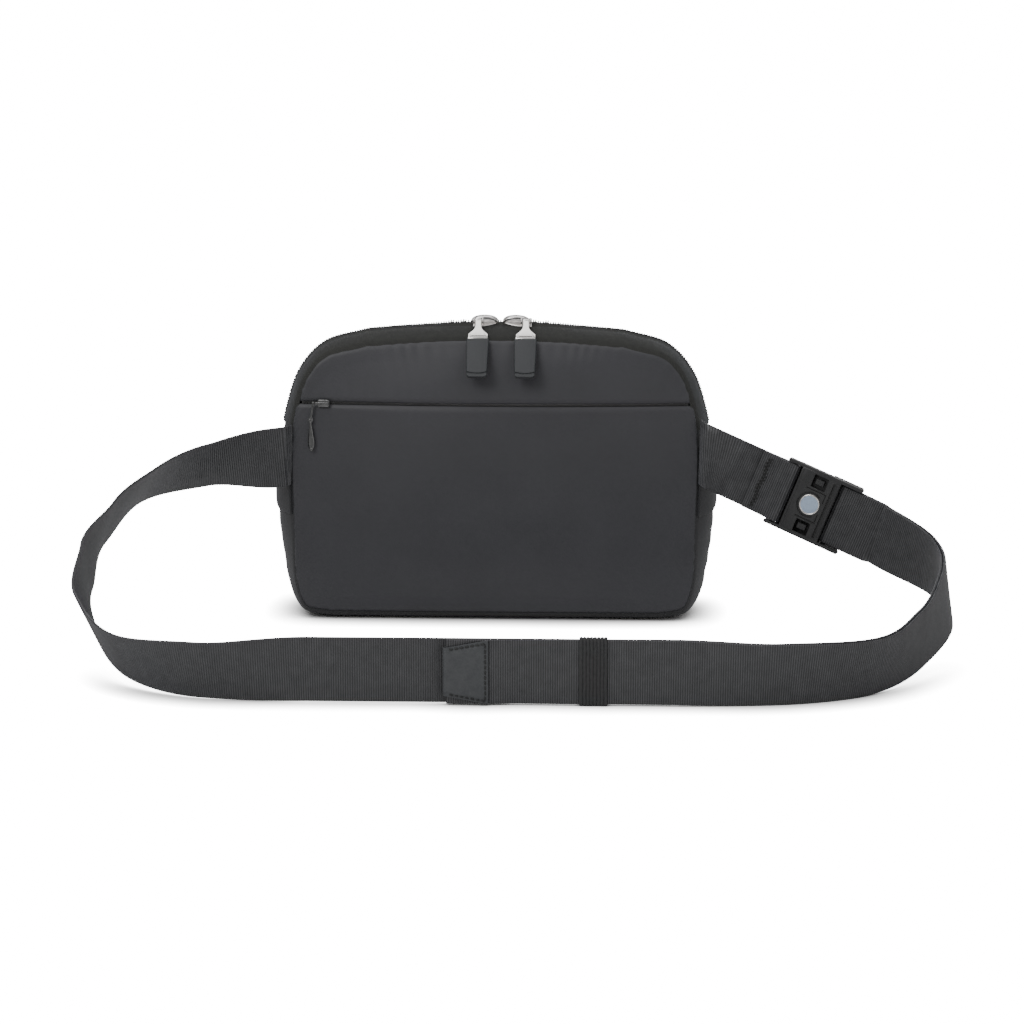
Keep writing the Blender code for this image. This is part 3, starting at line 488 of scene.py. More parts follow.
finishes = {
    "shell": dict(colour=(0.036, 0.036, 0.041), rough=0.52, roughChange=0.1, sheen=0.25, patch=35.0,
                  light=(0.042, 0.042, 0.048), threads=(0.5, 0.5, 0.0, 1.0, 0.5),
                  turn=(math.radians(90), 0, 0), bump=0.25, depth=0.05),
    # painted shade: the shell nylon made darker for the side gusset and side patches, which face away from
    # the light
    "shellInPaintedShade": dict(colour=(0.015, 0.015, 0.017), rough=0.6, sheen=0.05, patch=30.0, coords="UV",
                      threads=(0.5, 0.5, 0.0, 1.0, 0.5), bump=0.25, depth=0.05),
    "twill": dict(colour=(0.022, 0.022, 0.020), light=(0.040, 0.041, 0.036), rough=0.8, sheen=0.15, patch=3.0,
                  coords="UV", threads=(1.5, 1.5, 1.0, 0.2, 0.7), paintedRibShade=0.6, bump=0.9, depth=0.22),
    "webbing": dict(colour=(0.056, 0.056, 0.060), light=(0.088, 0.088, 0.093), rough=0.38, roughChange=0.25,
                    sheen=0.15, patch=6.0, coords="UV", threads=(1.35, 0.55, 0.0, 0.8, 0.9), paintedRibShade=0.7,
                    bump=0.6, depth=0.16),
    "nickel": dict(colour=(0.80, 0.775, 0.76), light=(0.86, 0.84, 0.83), rough=0.16, metal=1.0, patch=5.0,
                   bump=0.04, depth=0.05, grain=0.5),
    "rubber": dict(colour=(0.028, 0.030, 0.034), light=(0.034, 0.037, 0.041), rough=0.5, patch=5.0,
                   bump=0.12, depth=0.04, grain=0.2),
    "leather": dict(colour=(0.045, 0.048, 0.052), light=(0.065, 0.068, 0.072), rough=0.5, patch=4.0,
                    cells=0.7, bump=0.45, depth=0.12, grain=0.25),
    "plastic": dict(colour=(0.024, 0.024, 0.025), light=(0.032, 0.032, 0.033), rough=0.29, patch=6.0,
                    bump=0.15, depth=0.04, grain=0.18),
    # painted light: the nickel brightened for the main pull plates, standing in for the light they catch as
    # they face up
    "litNickel": dict(colour=(0.95, 0.92, 0.89), light=(0.98, 0.96, 0.94), rough=0.24, metal=1.0,
                         patch=5.0, bump=0.03, depth=0.05, grain=0.5),
    # painted shade: the nickel darkened for the pocket slider, link and drop, standing in for dark
    # reflections in the polished metal
    "shadedNickel": dict(colour=(0.14, 0.14, 0.14), light=(0.20, 0.20, 0.20), rough=0.2, metal=1.0, patch=3.0,
                       bump=0.04, depth=0.05, grain=0.5),
    # painted reflection: the magnet's steel face is coloured pale blue to stand in for the sky it reflects
    "magnetSkyReflection": dict(colour=(0.36, 0.45, 0.58), light=(0.40, 0.49, 0.62), rough=0.35, patch=8.0, coat=0.2,
                       bump=0.03, depth=0.03, grain=0.3),
    "coil": dict(colour=(0.020, 0.020, 0.020), rough=0.32, patch=4.0, bump=0.1, depth=0.03, grain=0.2),
    "elastic": dict(colour=(0.030, 0.030, 0.031), light=(0.045, 0.045, 0.046), rough=0.85, sheen=0.1,
                    patch=2.0, bump=0.5, depth=0.08, grain=0.35),
    "lining": dict(colour=(0.11, 0.11, 0.115), rough=0.75, patch=12.0, threads=(0.4, 0.4, 0.0, 1.0, 0.4),
                   bump=0.25, depth=0.05),
    "thread": dict(colour=(0.012, 0.012, 0.012), light=(0.02, 0.02, 0.02), rough=0.6, patch=1.5, bump=0.3,
                   depth=0.05, grain=0.15),
}
looks = {name: basicMaterial(name, look) for name, look in finishes.items()}
print("stage: materials")


# the bag's shape
bag = {
    "height": 0.1833, "arcRadius": 0.757, "arcHalf": 0.08,
    "side": [(106, 171.5), (122, 155), (130.5, 132), (135.5, 105), (137.7, 74),
             (135.5, 46), (131, 18), (122, 4)],
    "depthTop": 0.014, "depthGrowth": 0.0165, "topSeamZ": 0.176,
    "insetTop": 7.6, "insetSide": 6.9, "insetWaist": 4.4, "insetBottom": 4.4, "cornerGain": 2.3,
    "frontBulge": 0.008, "backBulge": 0.003, "halfWidth": 0.1255, "midZ": 0.091, "halfHeight": 0.088,
    "bandEndZ": 0.121, "pocketZ": 0.1363, "pocketGap": 0.0008, "skin": 0.0012, "gap": 0.0003,
}


def halfOutline():
    # outline seen from the front, (x, z), from the base's centre round the right side to the crest
    bottom = [Vector((x * mm, 0.0)) for x in range(0, 104, 8)]
    halfTurn = math.asin(bag["arcHalf"] / bag["arcRadius"])
    arc = []
    for k in range(25):
        turn = halfTurn * (1 - k / 24)
        arc.append(Vector((bag["arcRadius"] * math.sin(turn),
                           bag["height"] - bag["arcRadius"] * (1 - math.cos(turn)))))
    stations = [(0.104, 0.0)] + [(x * mm, z * mm) for x, z in reversed(bag["side"])] + [tuple(arc[0])]
    side = [Vector((p.x, max(p.y, 0.0))) for p in catmull(stations, 14)]
    return spaced(bottom + side + arc[1:], 221)


def outlineNormals(points):
    normals = []
    for i in range(len(points)):
        a, b = points[max(i - 1, 0)], points[min(i + 1, len(points) - 1)]
        along = (b - a).normalized()
        normals.append(Vector((along.y, -along.x)))
    normals[0], normals[-1] = Vector((0.0, -1.0)), Vector((0.0, 1.0))
    return normals


def seamLine(points, normals):
    seam = []
    for spot, normal in zip(points, normals):
        edge = bag["insetTop"] if normal.y > 0 else bag["insetBottom"]
        waist = bag["insetWaist"] * math.exp(-((spot.y / mm - 70) / 40) ** 2)
        inset = (bag["insetSide"] + waist) * normal.x ** 2 + edge * normal.y ** 2
        inset -= bag["cornerGain"] * 2 * normal.x * max(normal.y, 0.0)
        seam.append(spot - normal * inset * mm)
    return seam


def bothSides(points):
    # from the crest down the left side, along the base and up the right
    left = [Vector((-p.x, p.y)) for p in reversed(points)]
    return left[:-1] + list(points)


rimHalf = halfOutline()
normalHalf = outlineNormals(rimHalf)
seamHalf = seamLine(rimHalf, normalHalf)
rimAll, seamAll, normalAll = bothSides(rimHalf), bothSides(seamHalf), bothSides(normalHalf)
lastHalf = len(rimHalf) - 1


def halfDepth(z):
    share = min(max(z / bag["topSeamZ"], 0.0), 1.0)
    return bag["depthTop"] + bag["depthGrowth"] * (1 - share ** 2.4)


def swell(x, z):
    across = max(0.0, 1 - (x / bag["halfWidth"]) ** 2)
    return across * max(0.0, 1 - abs((z - bag["midZ"]) / bag["halfHeight"]) ** 4)


def frontY(x, z):
    return -(halfDepth(z) + bag["frontBulge"] * swell(x, z))


def backY(x, z):
    return halfDepth(z) + bag["backBulge"] * swell(x, z)


def at(points, share):
    # a point part of the way along an evenly spaced line
    place = share * (len(points) - 1)
    i = min(int(place), len(points) - 2)
    return points[i].lerp(points[i + 1], place - i)


def gussetPoint(share, depthShare, lift=0.0):
    # share runs over the whole outline; depthShare is -1 at the front seam and 1 at the back seam
    seam, rim, normal = at(seamAll, share), at(rimAll, share), at(normalAll, share).normalized()
    limit = -frontY(seam.x, seam.y) if depthShare < 0 else backY(seam.x, seam.y)
    power = 2.1 + 4.0 * max(0.0, -normal.y) ** 3
    spot = seam.lerp(rim, 1 - abs(depthShare) ** power) + normal * lift
    if normal.y < -0.5 and lift <= 0.0 and spot.y < 0.0004:
        spot.y = 0.0
    return Vector((spot.x, depthShare * limit, max(spot.y, 0.0))), normal


# front and back panels
panelLook = {
    "edgeRoll": 0.0034, "edgeDrop": 0.0016, "zipRoll": 0.0026, "zipDrop": 0.0011,
    "puckerHeight": 0.00026, "puckerPitch": 0.0085, "puckerReach": 0.007,
    "swayHeight": 0.0011, "swaySize": 0.055, "creaseHeight": 0.00035, "creaseSize": 0.022,
}


def seamPiece(upper):
    # the panel's sewn edge from the left end of the pocket zip round to its right end
    cut = bag["pocketZ"] + (bag["pocketGap"] if upper else -bag["pocketGap"])
    half = [p - n * bag["gap"] / 2 for p, n in zip(seamHalf, normalHalf)]
    kept = [p for p in half if (p.y > cut if upper else p.y < cut)]
    below = max((p for p in half if p.y <= cut), key=lambda p: p.y)
    above = min((p for p in half if p.y >= cut), key=lambda p: p.y)
    end = below.lerp(above, (cut - below.y) / max(above.y - below.y, 1e-9))
    right = [end] + kept if upper else list(reversed(kept + [end]))
    right = spaced(right, 141)
    left = [Vector((-p.x, p.y)) for p in right]
    return left + list(reversed(right))[1:], cut


def puckers(along, away, look, seed):
    # little gathers that run off a seam and die away over the panel
    wave = math.sin(2 * math.pi * along / look["puckerPitch"] + 5.0 * wobble(along, seed, 0, 0.03))
    strength = 0.45 + 0.8 * wobble(along, seed + 3.0, 0, 0.035)
    return look["puckerHeight"] * wave * max(strength, 0.0) * math.exp(-away / look["puckerReach"])


def frontPanel(name, upper, rows, node):
    edge, cut = seamPiece(upper)
    columns = len(edge) - 1
    half = abs(edge[0].x)
    runs = [0.0]
    for a, b in zip(edge, edge[1:]):
        runs.append(runs[-1] + (b - a).length)
    look = panelLook
    seed = 4.0 if upper else 9.0

    def place(u, v):
        j = round(u * columns)
        flat = Vector((-half + 2 * half * u, cut))
        share = 1 - (1 - v) ** 1.35      # rows lie closer at the sewn edge
        spot = flat.lerp(edge[j], share)
        away = (edge[j] - flat).length * (1 - share)
        fromZip = abs(spot.y - cut)
        y = frontY(spot.x, spot.y)
        y += look["edgeDrop"] * (1 - min(away / look["edgeRoll"], 1.0)) ** 2.2
        y += look["zipDrop"] * (1 - min(fromZip / look["zipRoll"], 1.0)) ** 2.0
        free = ease(away / 0.012) * (0.35 + 0.65 * ease(fromZip / 0.02))
        y -= free * look["swayHeight"] * wobble(spot.x, seed, spot.y, look["swaySize"], seed)
        y -= free * look["creaseHeight"] * wobble(spot.x * 0.5, seed, spot.y, look["creaseSize"], seed)
        y -= puckers(runs[j], away, look, seed) * ease(away / 0.0015)
        y -= puckers(spot.x, fromZip, look, seed + 7) * 0.55 * ease(fromZip / 0.0012) * ease(away / 0.008)
        return Vector((spot.x, y, spot.y))

    obj = gridSheet(name, columns, rows, place, 1, 1, facingAlong((0, -1, 0)))
    applyModifier(obj, "SOLIDIFY", thickness=bag["skin"], offset=-1.0)
    smooth(obj, 60)
    return finish(obj, looks["shell"], "shell_fabric", "bag", node)


def backPanel():
    look = panelLook
    right = [p - n * bag["gap"] / 2 for p, n in zip(seamHalf, normalHalf)]
    lower = spaced(right[:lastHalf // 2 + 12], 101)
    upper = spaced(right[lastHalf // 2 + 11:], 101)
    lower = [Vector((-p.x, p.y)) for p in reversed(lower)] + lower[1:]
    upper = [Vector((-p.x, p.y)) for p in upper] + list(reversed(upper))[1:]
    columns = len(lower) - 1

    def place(u, v):
        j = round(u * columns)
        spot = lower[j].lerp(upper[j], v)
        away = min((spot - lower[j]).length, (spot - upper[j]).length, abs(abs(spot.x) - abs(lower[0].x)))
        y = backY(spot.x, spot.y)
        y -= look["edgeDrop"] * (1 - min(away / look["edgeRoll"], 1.0)) ** 2.2
        free = ease(away / 0.012)
        y += free * look["swayHeight"] * wobble(spot.x, 2.0, spot.y, look["swaySize"], 21.0)
        y += puckers(spot.x + spot.y, away, look, 31.0) * ease(away / 0.0015)
        return Vector((spot.x, y, spot.y))

    obj = gridSheet("backPanel", columns, 90, place, 1, 1, facingAlong((0, 1, 0)))
    applyModifier(obj, "SOLIDIFY", thickness=bag["skin"], offset=-1.0)
    smooth(obj, 60)
    return finish(obj, looks["shell"], "shell_fabric", "bag", "back_panel")


frontPanel("upperPanel", True, 44, "front_upper_panel")
frontPanel("pocketPanel", False, 90, "front_pocket_panel")
backPanel()
print("stage: panels")


# gusset, zip band, coil and side patches
band = {
    "sideSag": 0.0010, "tapeSkin": 0.0009, "chainHalf": 0.0027, "seamTuck": 0.0016,
    "toothPitch": 0.00155, "toothReach": 0.0024, "toothThick": 0.00042, "toothLift": 0.0011,
}
firstBand = min(i for i in range(lastHalf, len(rimAll)) if rimAll[i].y > bag["bandEndZ"]) / (len(rimAll) - 1)
outlineLength = sum((b - a).length for a, b in zip(rimAll, rimAll[1:]))


def gusset():
    start, stop = 1 - firstBand, firstBand

    def place(u, v):
        share = start + (stop - start) * u
        depthShare = -1 + 2 * v
        tucked = 1 - min((1 - abs(depthShare)) / 0.05, 1.0)
        spot, normal = gussetPoint(share, depthShare)
        outward = Vector((normal.x, 0, normal.y))
        wave = wobble(share * 2, v * 0.05, 0, 0.025, 5.0)
        sag = band["sideSag"] * wave * (1 - abs(depthShare)) * abs(normal.x)
        tuck = band["seamTuck"] * tucked ** 2 * 0.5
        spot = spot + outward * (sag - 0.0005 * abs(normal.x)) - outward * tuck
        spot.z = max(spot.z, 0.0)
        return spot

    span = outlineLength * (stop - start)
    obj = gridSheet("sideGusset", 240, 44, place, span, 0.07, facingFrom((0, 0, 0.09)))
    applyModifier(obj, "SOLIDIFY", thickness=bag["skin"], offset=-1.0)
    smooth(obj, 60)
    # the gusset takes the shell nylon darkened as painted shade
    return finish(obj, looks["shellInPaintedShade"], "shell_fabric", "bag", "side_and_base_gusset")


def bandShare(u):
    # runs over the crest from the band's left end to its right end
    total = 2 * (1 - firstBand)
    share = (1 - firstBand) - total * u
    return share % 1.0


def crestRise(x):
    # the chain stands higher near the sliders
    away = abs(x - 0.003)
    lumps = 0.0007 * max(math.sin(2 * math.pi * x / 0.0074), 0.0) ** 0.5 if 0.015 < away < 0.034 else 0.0
    return band["toothLift"] * math.exp(-(away / 0.040) ** 4) + 0.0001 + lumps


def zipTape(name, side, node):
    def place(u, v):
        share = bandShare(u)
        seam = at(seamAll, share)
        limit = -frontY(seam.x, seam.y) if side < 0 else backY(seam.x, seam.y)
        inner = (band["chainHalf"] + bag["gap"]) / limit
        depthShare = side * (1 + (inner - 1) * v)
        spot, normal = gussetPoint(share, depthShare)
        outward = Vector((normal.x, 0, normal.y))
        tuck = band["seamTuck"] * (1 - min(v / 0.14, 1.0)) ** 2
        lip = 0.0006 * ease((v - 0.86) / 0.14) * (1 + 0.8 * math.exp(-((spot.x - 0.003) / 0.04) ** 4))
        ripple = 0.00025 * wobble(u * 0.33, v * 0.02, 0, 0.012, 8.0 + side)
        return spot + outward * (lip + ripple - tuck)

    obj = gridSheet(name, 300, 16, place, 0.33, 0.02, facingFrom((0, 0, 0.09)))
    applyModifier(obj, "SOLIDIFY", thickness=band["tapeSkin"], offset=-1.0)
    smooth(obj, 60)
    return finish(obj, looks["twill"], "zip_tape", "bag", node)


def coilTooth():
    # one loop of the coil, bent over the chain's middle
    frames = []
    for k in range(9):
        turn = math.pi * k / 8
        point = Vector((0, band["toothReach"] * math.cos(turn), 0.00085 * math.sin(turn) ** 0.7))
        ahead = Vector((0, -math.sin(turn), math.cos(turn)))
        frames.append((point, Vector((1, 0, 0)), Vector((1, 0, 0)).cross(ahead).normalized()))
    half = band["toothThick"]
    section = [(half, 0), (0.5 * half, 0.8 * half), (-0.5 * half, 0.8 * half), (-half, 0),
               (-0.5 * half, -0.8 * half), (0.5 * half, -0.8 * half)]
    return sweep("coilTooth", frames, section)


def zipChain():
    def place(u, v):
        share = bandShare(u)
        spot, normal = gussetPoint(share, 0.0)
        outward = Vector((normal.x, 0, normal.y))
        across = (v - 0.5) * 2 * band["chainHalf"]
        return spot + outward * (crestRise(spot.x) - 0.0004) + Vector((0, across, 0))

    core = gridSheet("mainZipCoil", 220, 4, place, 0.33, 0.006, facingFrom((0, 0, 0.09)))
    applyModifier(core, "SOLIDIFY", thickness=0.0009, offset=-1.0)
    line = []
    for k in range(1201):
        spot, normal = gussetPoint(bandShare(0.002 + 0.996 * k / 1200), 0.0)
        line.append((Vector((spot.x, spot.z)), normal))
    length = sum((b[0] - a[0]).length for a, b in zip(line, line[1:]))
    count = int(length / band["toothPitch"])
    places = []
    for k in range(count):
        spot, normal = line[round((k + 0.5) / count * 1200)]
        outward = Vector((normal.x, 0, normal.y))
        along = Vector((-normal.y, 0, normal.x))
        middle = Vector((spot.x, 0, spot.y)) + outward * (crestRise(spot.x) - 0.0001)
        middle.y = 0.0003 if k % 2 else -0.0003      # teeth from the two tapes interlock
        rows = [[along[i], (0, 1, 0)[i], outward[i], middle[i]] for i in range(3)] + [[0, 0, 0, 1]]
        places.append(Matrix(rows))
    teeth = copyAlong("mainZipTeeth", coilTooth(), places)
    obj = joinPieces("mainZipCoil", [core, teeth])
    smooth(obj, 50)
    return finish(obj, looks["coil"], "zip_coil", "bag", "main_zip_coil")


def sidePatch(name, side, node):
    # reinforcement under the strap root, with a rounded lower edge
    top, low = 0.112, 0.066
    right = [i for i in range(lastHalf, len(rimAll)) if low < rimAll[i].y < top]
    shares = [i / (len(rimAll) - 1) for i in right]
    if side < 0:
        shares = [1 - s for s in shares]

    def place(u, v):
        share = shares[0] + (shares[-1] - shares[0]) * u
        fromLow = (top - low) * u
        start, stop = -1.0, 0.10
        bulge = math.sqrt(max(0.0, 1 - (1 - min(fromLow / 0.018, 1.0)) ** 2))
        depthShare = start + (stop - start) * v * (0.12 + 0.88 * bulge)
        lift = 0.0012 - 0.0003 * (1 - bulge)
        spot, _ = gussetPoint(share, depthShare, lift)
        return spot

    obj = gridSheet(name, 40, 24, place, top - low, 0.03, facingFrom((0, 0, 0.09)))
    applyModifier(obj, "SOLIDIFY", thickness=0.0022, offset=-1.0)
    applyModifier(obj, "BEVEL", width=0.0003, segments=2, limit_method="ANGLE", angle_limit=math.radians(50))
    smooth(obj, 50)
    return finish(obj, looks["shellInPaintedShade"], "shell_fabric", "bag", node)


gusset()
zipTape("mainZipTapeFront", -1, "main_zip_tape_front")
zipTape("mainZipTapeRear", 1, "main_zip_tape_rear")
zipChain()
sidePatch("sidePatchLeft", -1, "side_patch_left")
sidePatch("sidePatchRight", 1, "side_patch_right")
print("stage: gusset, zip band and coil")


# webbing strap
web = {
    "width": 0.038, "thick": 0.0015, "ribPitch": 0.00135, "ribHeight": 0.00017, "layer": 0.0020,
    "tabLayer": 0.0031, "frontY": -0.232, "midZ": 0.0198, "frontX": (-0.100, 0.112), "tabX": (-0.021, 0.0046),
}
leftRun = [(-126.3, -24.4, 104, 0), (-129.5, -30.0, 103.8, 0), (-136, -32.6, 103.2, -2),
           (-177, -38, 99.5, -35), (-210, -60, 92, -43),
           (-231, -95, 75, -26), (-240, -133, 55, 3), (-234, -173, 35, 26.5), (-209, -209.5, 20.5, 31.5),
           (-162, -231.5, 18.4, 19), (-100, -232, 19.8, 0)]
rightRun = [(236, -61.5, 63.6, -4), (267, -92, 50, 7.5), (271.5, -131, 39.5, 8), (254, -173, 26, -6),
            (225, -210, 19, -18), (172, -231, 19.2, -12), (112, -232, 19.8, 0)]
stubRoot = Vector((0.127, -0.031, 0.1075))
buckleAway = 0.0782


def runFrames(stations, steps):
    fine = [p * mm for p in catmull([s[:3] for s in stations], steps)]
    leans = []
    for i in range(len(stations) - 1):
        for k in range(steps):
            leans.append(stations[i][3] + (stations[i + 1][3] - stations[i][3]) * ease(k / steps))
    leans.append(stations[-1][3])
    frames = []
    for i, point in enumerate(fine):
        along = (fine[min(i + 1, len(fine) - 1)] - fine[max(i - 1, 0)]).normalized()
        upright = (Vector((0, 0, 1)) - along * along.z).normalized()
        face = along.cross(upright)
        lean = math.radians(leans[i])
        across = upright * math.cos(lean) + face * math.sin(lean)
        frames.append((point, across, along.cross(across)))
    return frames


def buckleAxes():
    target = Vector(rightRun[0][:3]) * mm
    along = (target - stubRoot).normalized()
    upright = (Vector((0, 0, 1)) - along * along.z).normalized()
    face = along.cross(upright)
    lean = math.radians(-5)
    across = upright * math.cos(lean) + face * math.sin(lean)
    out = along.cross(across)
    centre = stubRoot + along * buckleAway
    return Matrix([[along[i], across[i], out[i], centre[i]] for i in range(3)] + [[0, 0, 0, 1]])


buckleFrame = buckleAxes()


def turnPoints(cx, cz, radius, start, stop, steps):
    turns = [math.radians(start + (stop - start) * k / steps) for k in range(steps + 1)]
    return [(cx + radius * math.cos(turn), cz + radius * math.sin(turn)) for turn in turns]


def edgeOnFrames(path, shear=0.0):
    # webbing seen edge-on in the buckle's x and z, in millimetres
    along3, across3 = buckleFrame.col[0].xyz, buckleFrame.col[1].xyz
    points = [Vector(p) for p in path]
    frames = []
    for i, p in enumerate(points):
        ahead = (points[min(i + 1, len(points) - 1)] - points[max(i - 1, 0)]).normalized()
        spot = buckleFrame @ Vector((p.x * mm, 0, p.y * mm))
        way = along3 * ahead.x + buckleFrame.col[2].xyz * ahead.y
        lean = min(max((-55.0 - p.x) / 20.0, 0.0), 1.0) * shear
        across = across3 - along3 * lean
        frames.append((spot, across, way.cross(across3)))
    return frames


def evenFrames(frames, pitch):
    # frames resampled at half the ribs' pitch
    lengths = [0.0]
    for a, b in zip(frames, frames[1:]):
        lengths.append(lengths[-1] + (b[0] - a[0]).length)
    count = max(int(lengths[-1] / pitch), 2)
    out, i = [], 0
    for k in range(count + 1):
        goal = lengths[-1] * k / count
        while i < len(frames) - 2 and lengths[i + 1] < goal:
            i += 1
        part = (goal - lengths[i]) / max(lengths[i + 1] - lengths[i], 1e-12)
        a, b = frames[i], frames[i + 1]
        across = a[1].lerp(b[1], part)
        face = a[2].lerp(b[2], part).normalized()
        out.append((a[0].lerp(b[0], part), across, face))
    return out, lengths[-1]


def webSection():
    half, thick = web["width"] / 2, web["thick"] / 2
    flat = [half - 0.0005 - (2 * half - 0.001) * k / 7 for k in range(8)]
    top = [(a, thick * (0.94 if k in (0, 7) else 1.0)) for k, a in enumerate(flat)]
    low = [(a, -b) for a, b in reversed(top)]
    return top + [(-half, 0.0)] + low + [(half, 0.0)]


def ribbon(name, frames):
    even, length = evenFrames(frames, web["ribPitch"] / 2)
    section = webSection()
    last, count = len(even) - 1, len(section)
    around = 2 * (web["width"] + web["thick"])

    def place(u, v):
        i = round(u * last)
        point, across, face = even[i]
        a, b = section[round(v * count) % count]
        rib = web["ribHeight"] if i % 2 else -web["ribHeight"]
        cup = 0.0004 * (2 * a / web["width"]) ** 2 * wobble(i * 0.0007, 0, 0, 0.05, 3.0)
        spot = point + across * a + face * (b + (rib if b > 0 else -rib if b < 0 else 0) + cup)
        spot.z = max(spot.z, 0.0)
        return spot

    obj = gridSheet(name, last, count, place, length, around)
    closeMesh(obj)
    smooth(obj, 50)
    return obj


def strapFrames():
    left = runFrames(leftRun, 24)
    y, z = web["frontY"], web["midZ"]
    up, front = Vector((0, 0, 1)), Vector((0, -1, 0))
    x0, x1 = web["frontX"]
    straight = [(Vector((x0 + (x1 - x0) * k / 20, y, z)), up, front) for k in range(1, 20)]
    right = runFrames(rightRun, 24)
    returned = [(p, a, -f) for p, a, f in reversed(right)]
    around = turnPoints(13.9, -3.0, 2.6, 90, 270, 14)
    bend = catmull([(41, 0.0), (30, 0.1), (20, -0.2)], 6)[:-1] + [Vector(p) for p in around] \
        + catmull([(20, -5.2), (30, -3.6), (41, -2.0)], 6)
    turned = edgeOnFrames([(p.x, p.y) for p in bend])
    tail = [(p - f * web["layer"], a, f) for p, a, f in right]
    back = []
    single, tabbed = web["layer"], web["tabLayer"]
    for x, layer in ((0.08, single), (0.04, single), (0.0206, single), (0.0066, tabbed),
                     (-0.008, tabbed), (web["tabX"][0] + 0.0016, tabbed)):
        back.append((Vector((x, y - layer, z)), up, Vector((0, 1, 0))))
    return left + straight + returned + turned + tail[1:] + back


strap = ribbon("waistStrap", strapFrames())
finish(strap, looks["webbing"], "webbing", "bag", "strap_left", "strap_front", "strap_right",
       "strap_buckle_turn", "strap_tail_right", "strap_tail_front")

around = turnPoints(-20.1, -0.1, 2.95, -90, 90, 14)
stubBack = [(-79, -6.2), (-77.4, -3.4), (-74.5, -1.6), (-70, -1.2), (-62, -1.2), (-44, -1.2),
            (-34, -1.3), (-27, -2.4)]
stubFold = [(-27, 2.0), (-33, 0.75), (-41, 0.65)]
stubPath = catmull(stubBack, 5)[:-1] + [Vector(p) for p in around] + catmull(stubFold, 5)
stub = ribbon("bagStub", edgeOnFrames([(p.x, p.y) for p in stubPath], 0.38))
finish(stub, looks["webbing"], "webbing", None, "strap_stub")
print("stage: webbing")


def stitchModel(length, radius):
    # a short thread, dipped at both ends
    frames = []
    for k in range(5):
        t = k / 4
        frames.append((Vector((length * (t - 0.5), 0, radius * (1.1 * math.sin(math.pi * t) - 0.5))),
                       Vector((0, 1, 0)), Vector((0, 0, 1))))
    section = [(radius * math.cos(math.pi * k / 3), radius * math.sin(math.pi * k / 3)) for k in range(6)]
    return sweep("stitch", frames, section)


def stitchRow(name, line, pitch, length, radius):
    # line holds (point, outward normal) pairs along the seam
    points = [p for p, _ in line]
    lengths = [0.0]
    for a, b in zip(points, points[1:]):
        lengths.append(lengths[-1] + (b - a).length)
    count = int(lengths[-1] / pitch)
    places, i = [], 0
    for k in range(count):
        goal = (k + 0.5) * lengths[-1] / count
        while i < len(points) - 2 and lengths[i + 1] < goal:
            i += 1
        part = (goal - lengths[i]) / max(lengths[i + 1] - lengths[i], 1e-12)
        spot = points[i].lerp(points[i + 1], part)
        along = (points[i + 1] - points[i]).normalized()
        out = (line[i][1] - along * line[i][1].dot(along)).normalized()
        side = out.cross(along)
        places.append(Matrix([[along[j], side[j], out[j], spot[j]] for j in range(3)] + [[0, 0, 0, 1]]))
    return smooth(copyAlong(name, stitchModel(length, radius), places), 60)


# topstitching just inside the front panels' sewn edges, in near-black thread that also stands in as a painted
# shadow line between the band and the panels
seamStitch = {"inset": 0.0003, "pitch": 0.0026, "length": 0.0020, "radius": 0.00036}


def seamStitchesAndShadow(name, upper):
    edge, cut = seamPiece(upper)
    look, line = panelLook, []
    for i, p in enumerate(edge):
        along = (edge[min(i + 1, len(edge) - 1)] - edge[max(i - 1, 0)]).normalized()
        inward = Vector((along.y, -along.x)) * (1 if upper else -1)
        spot = p + inward * seamStitch["inset"]
        if abs(spot.y - cut) < 0.002:
            continue
        y = frontY(spot.x, spot.y) + look["edgeDrop"] * (1 - seamStitch["inset"] / look["edgeRoll"]) ** 2.2
        line.append((Vector((spot.x, y - 0.00008, spot.y)), Vector((0, -1, 0))))
    stitches = stitchRow(name, line, seamStitch["pitch"], seamStitch["length"], seamStitch["radius"])
    finish(stitches, looks["thread"], "shell_fabric", "bag")


seamStitchesAndShadow("upperPanelStitchesAndShadow", True)
seamStitchesAndShadow("pocketPanelStitchesAndShadow", False)


# bar tack on the folded stub
tack = {"x": -35.6, "half": 16.5, "swing": 1.3, "pitch": 2.4, "radius": 0.00036, "rise": 1.75}


def zigzagTack():
    points = []
    y, step = -tack["half"], 0
    while y < tack["half"]:
        side = tack["swing"] if step % 2 else -tack["swing"]
        wave = 0.5 * math.sin(y * 0.45)
        points.append((tack["x"] + side + wave, y))
        y += tack["pitch"] / 2
        step += 1
    frames = []
    fine = catmull(points, 4)
    for i, p in enumerate(fine):
        ahead = (fine[min(i + 1, len(fine) - 1)] - fine[max(i - 1, 0)]).normalized()
        spot = buckleFrame @ Vector((p.x * mm, p.y * mm, tack["rise"] * mm))
        side = buckleFrame.to_3x3() @ Vector((-ahead.y, ahead.x, 0))
        frames.append((spot, side, buckleFrame.col[2].xyz.copy()))
    radius = tack["radius"]
    section = [(radius * math.cos(math.pi * k / 3), radius * math.sin(math.pi * k / 3)) for k in range(6)]
    return smooth(sweep("stubBarTack", frames, section), 60)


finish(zigzagTack(), looks["thread"], "webbing", "buckle_receiver")


# leather end tab
tab = {"x0": -0.021, "x1": 0.0046, "narrow": 0.75, "cover": 0.0011, "under": 0.0007, "gap": 0.0003,
       "stitchPitch": 0.0030, "stitchLength": 0.0022, "stitchRadius": 0.00040, "inset": 0.0016}


def tabHalf(x):
    wide = web["width"] / 2 - 0.0002
    share = min(max((x - tab["x0"]) / (tab["x1"] - tab["x0"]), 0.0), 1.0)
    return wide * (tab["narrow"] + (1 - tab["narrow"]) * share)


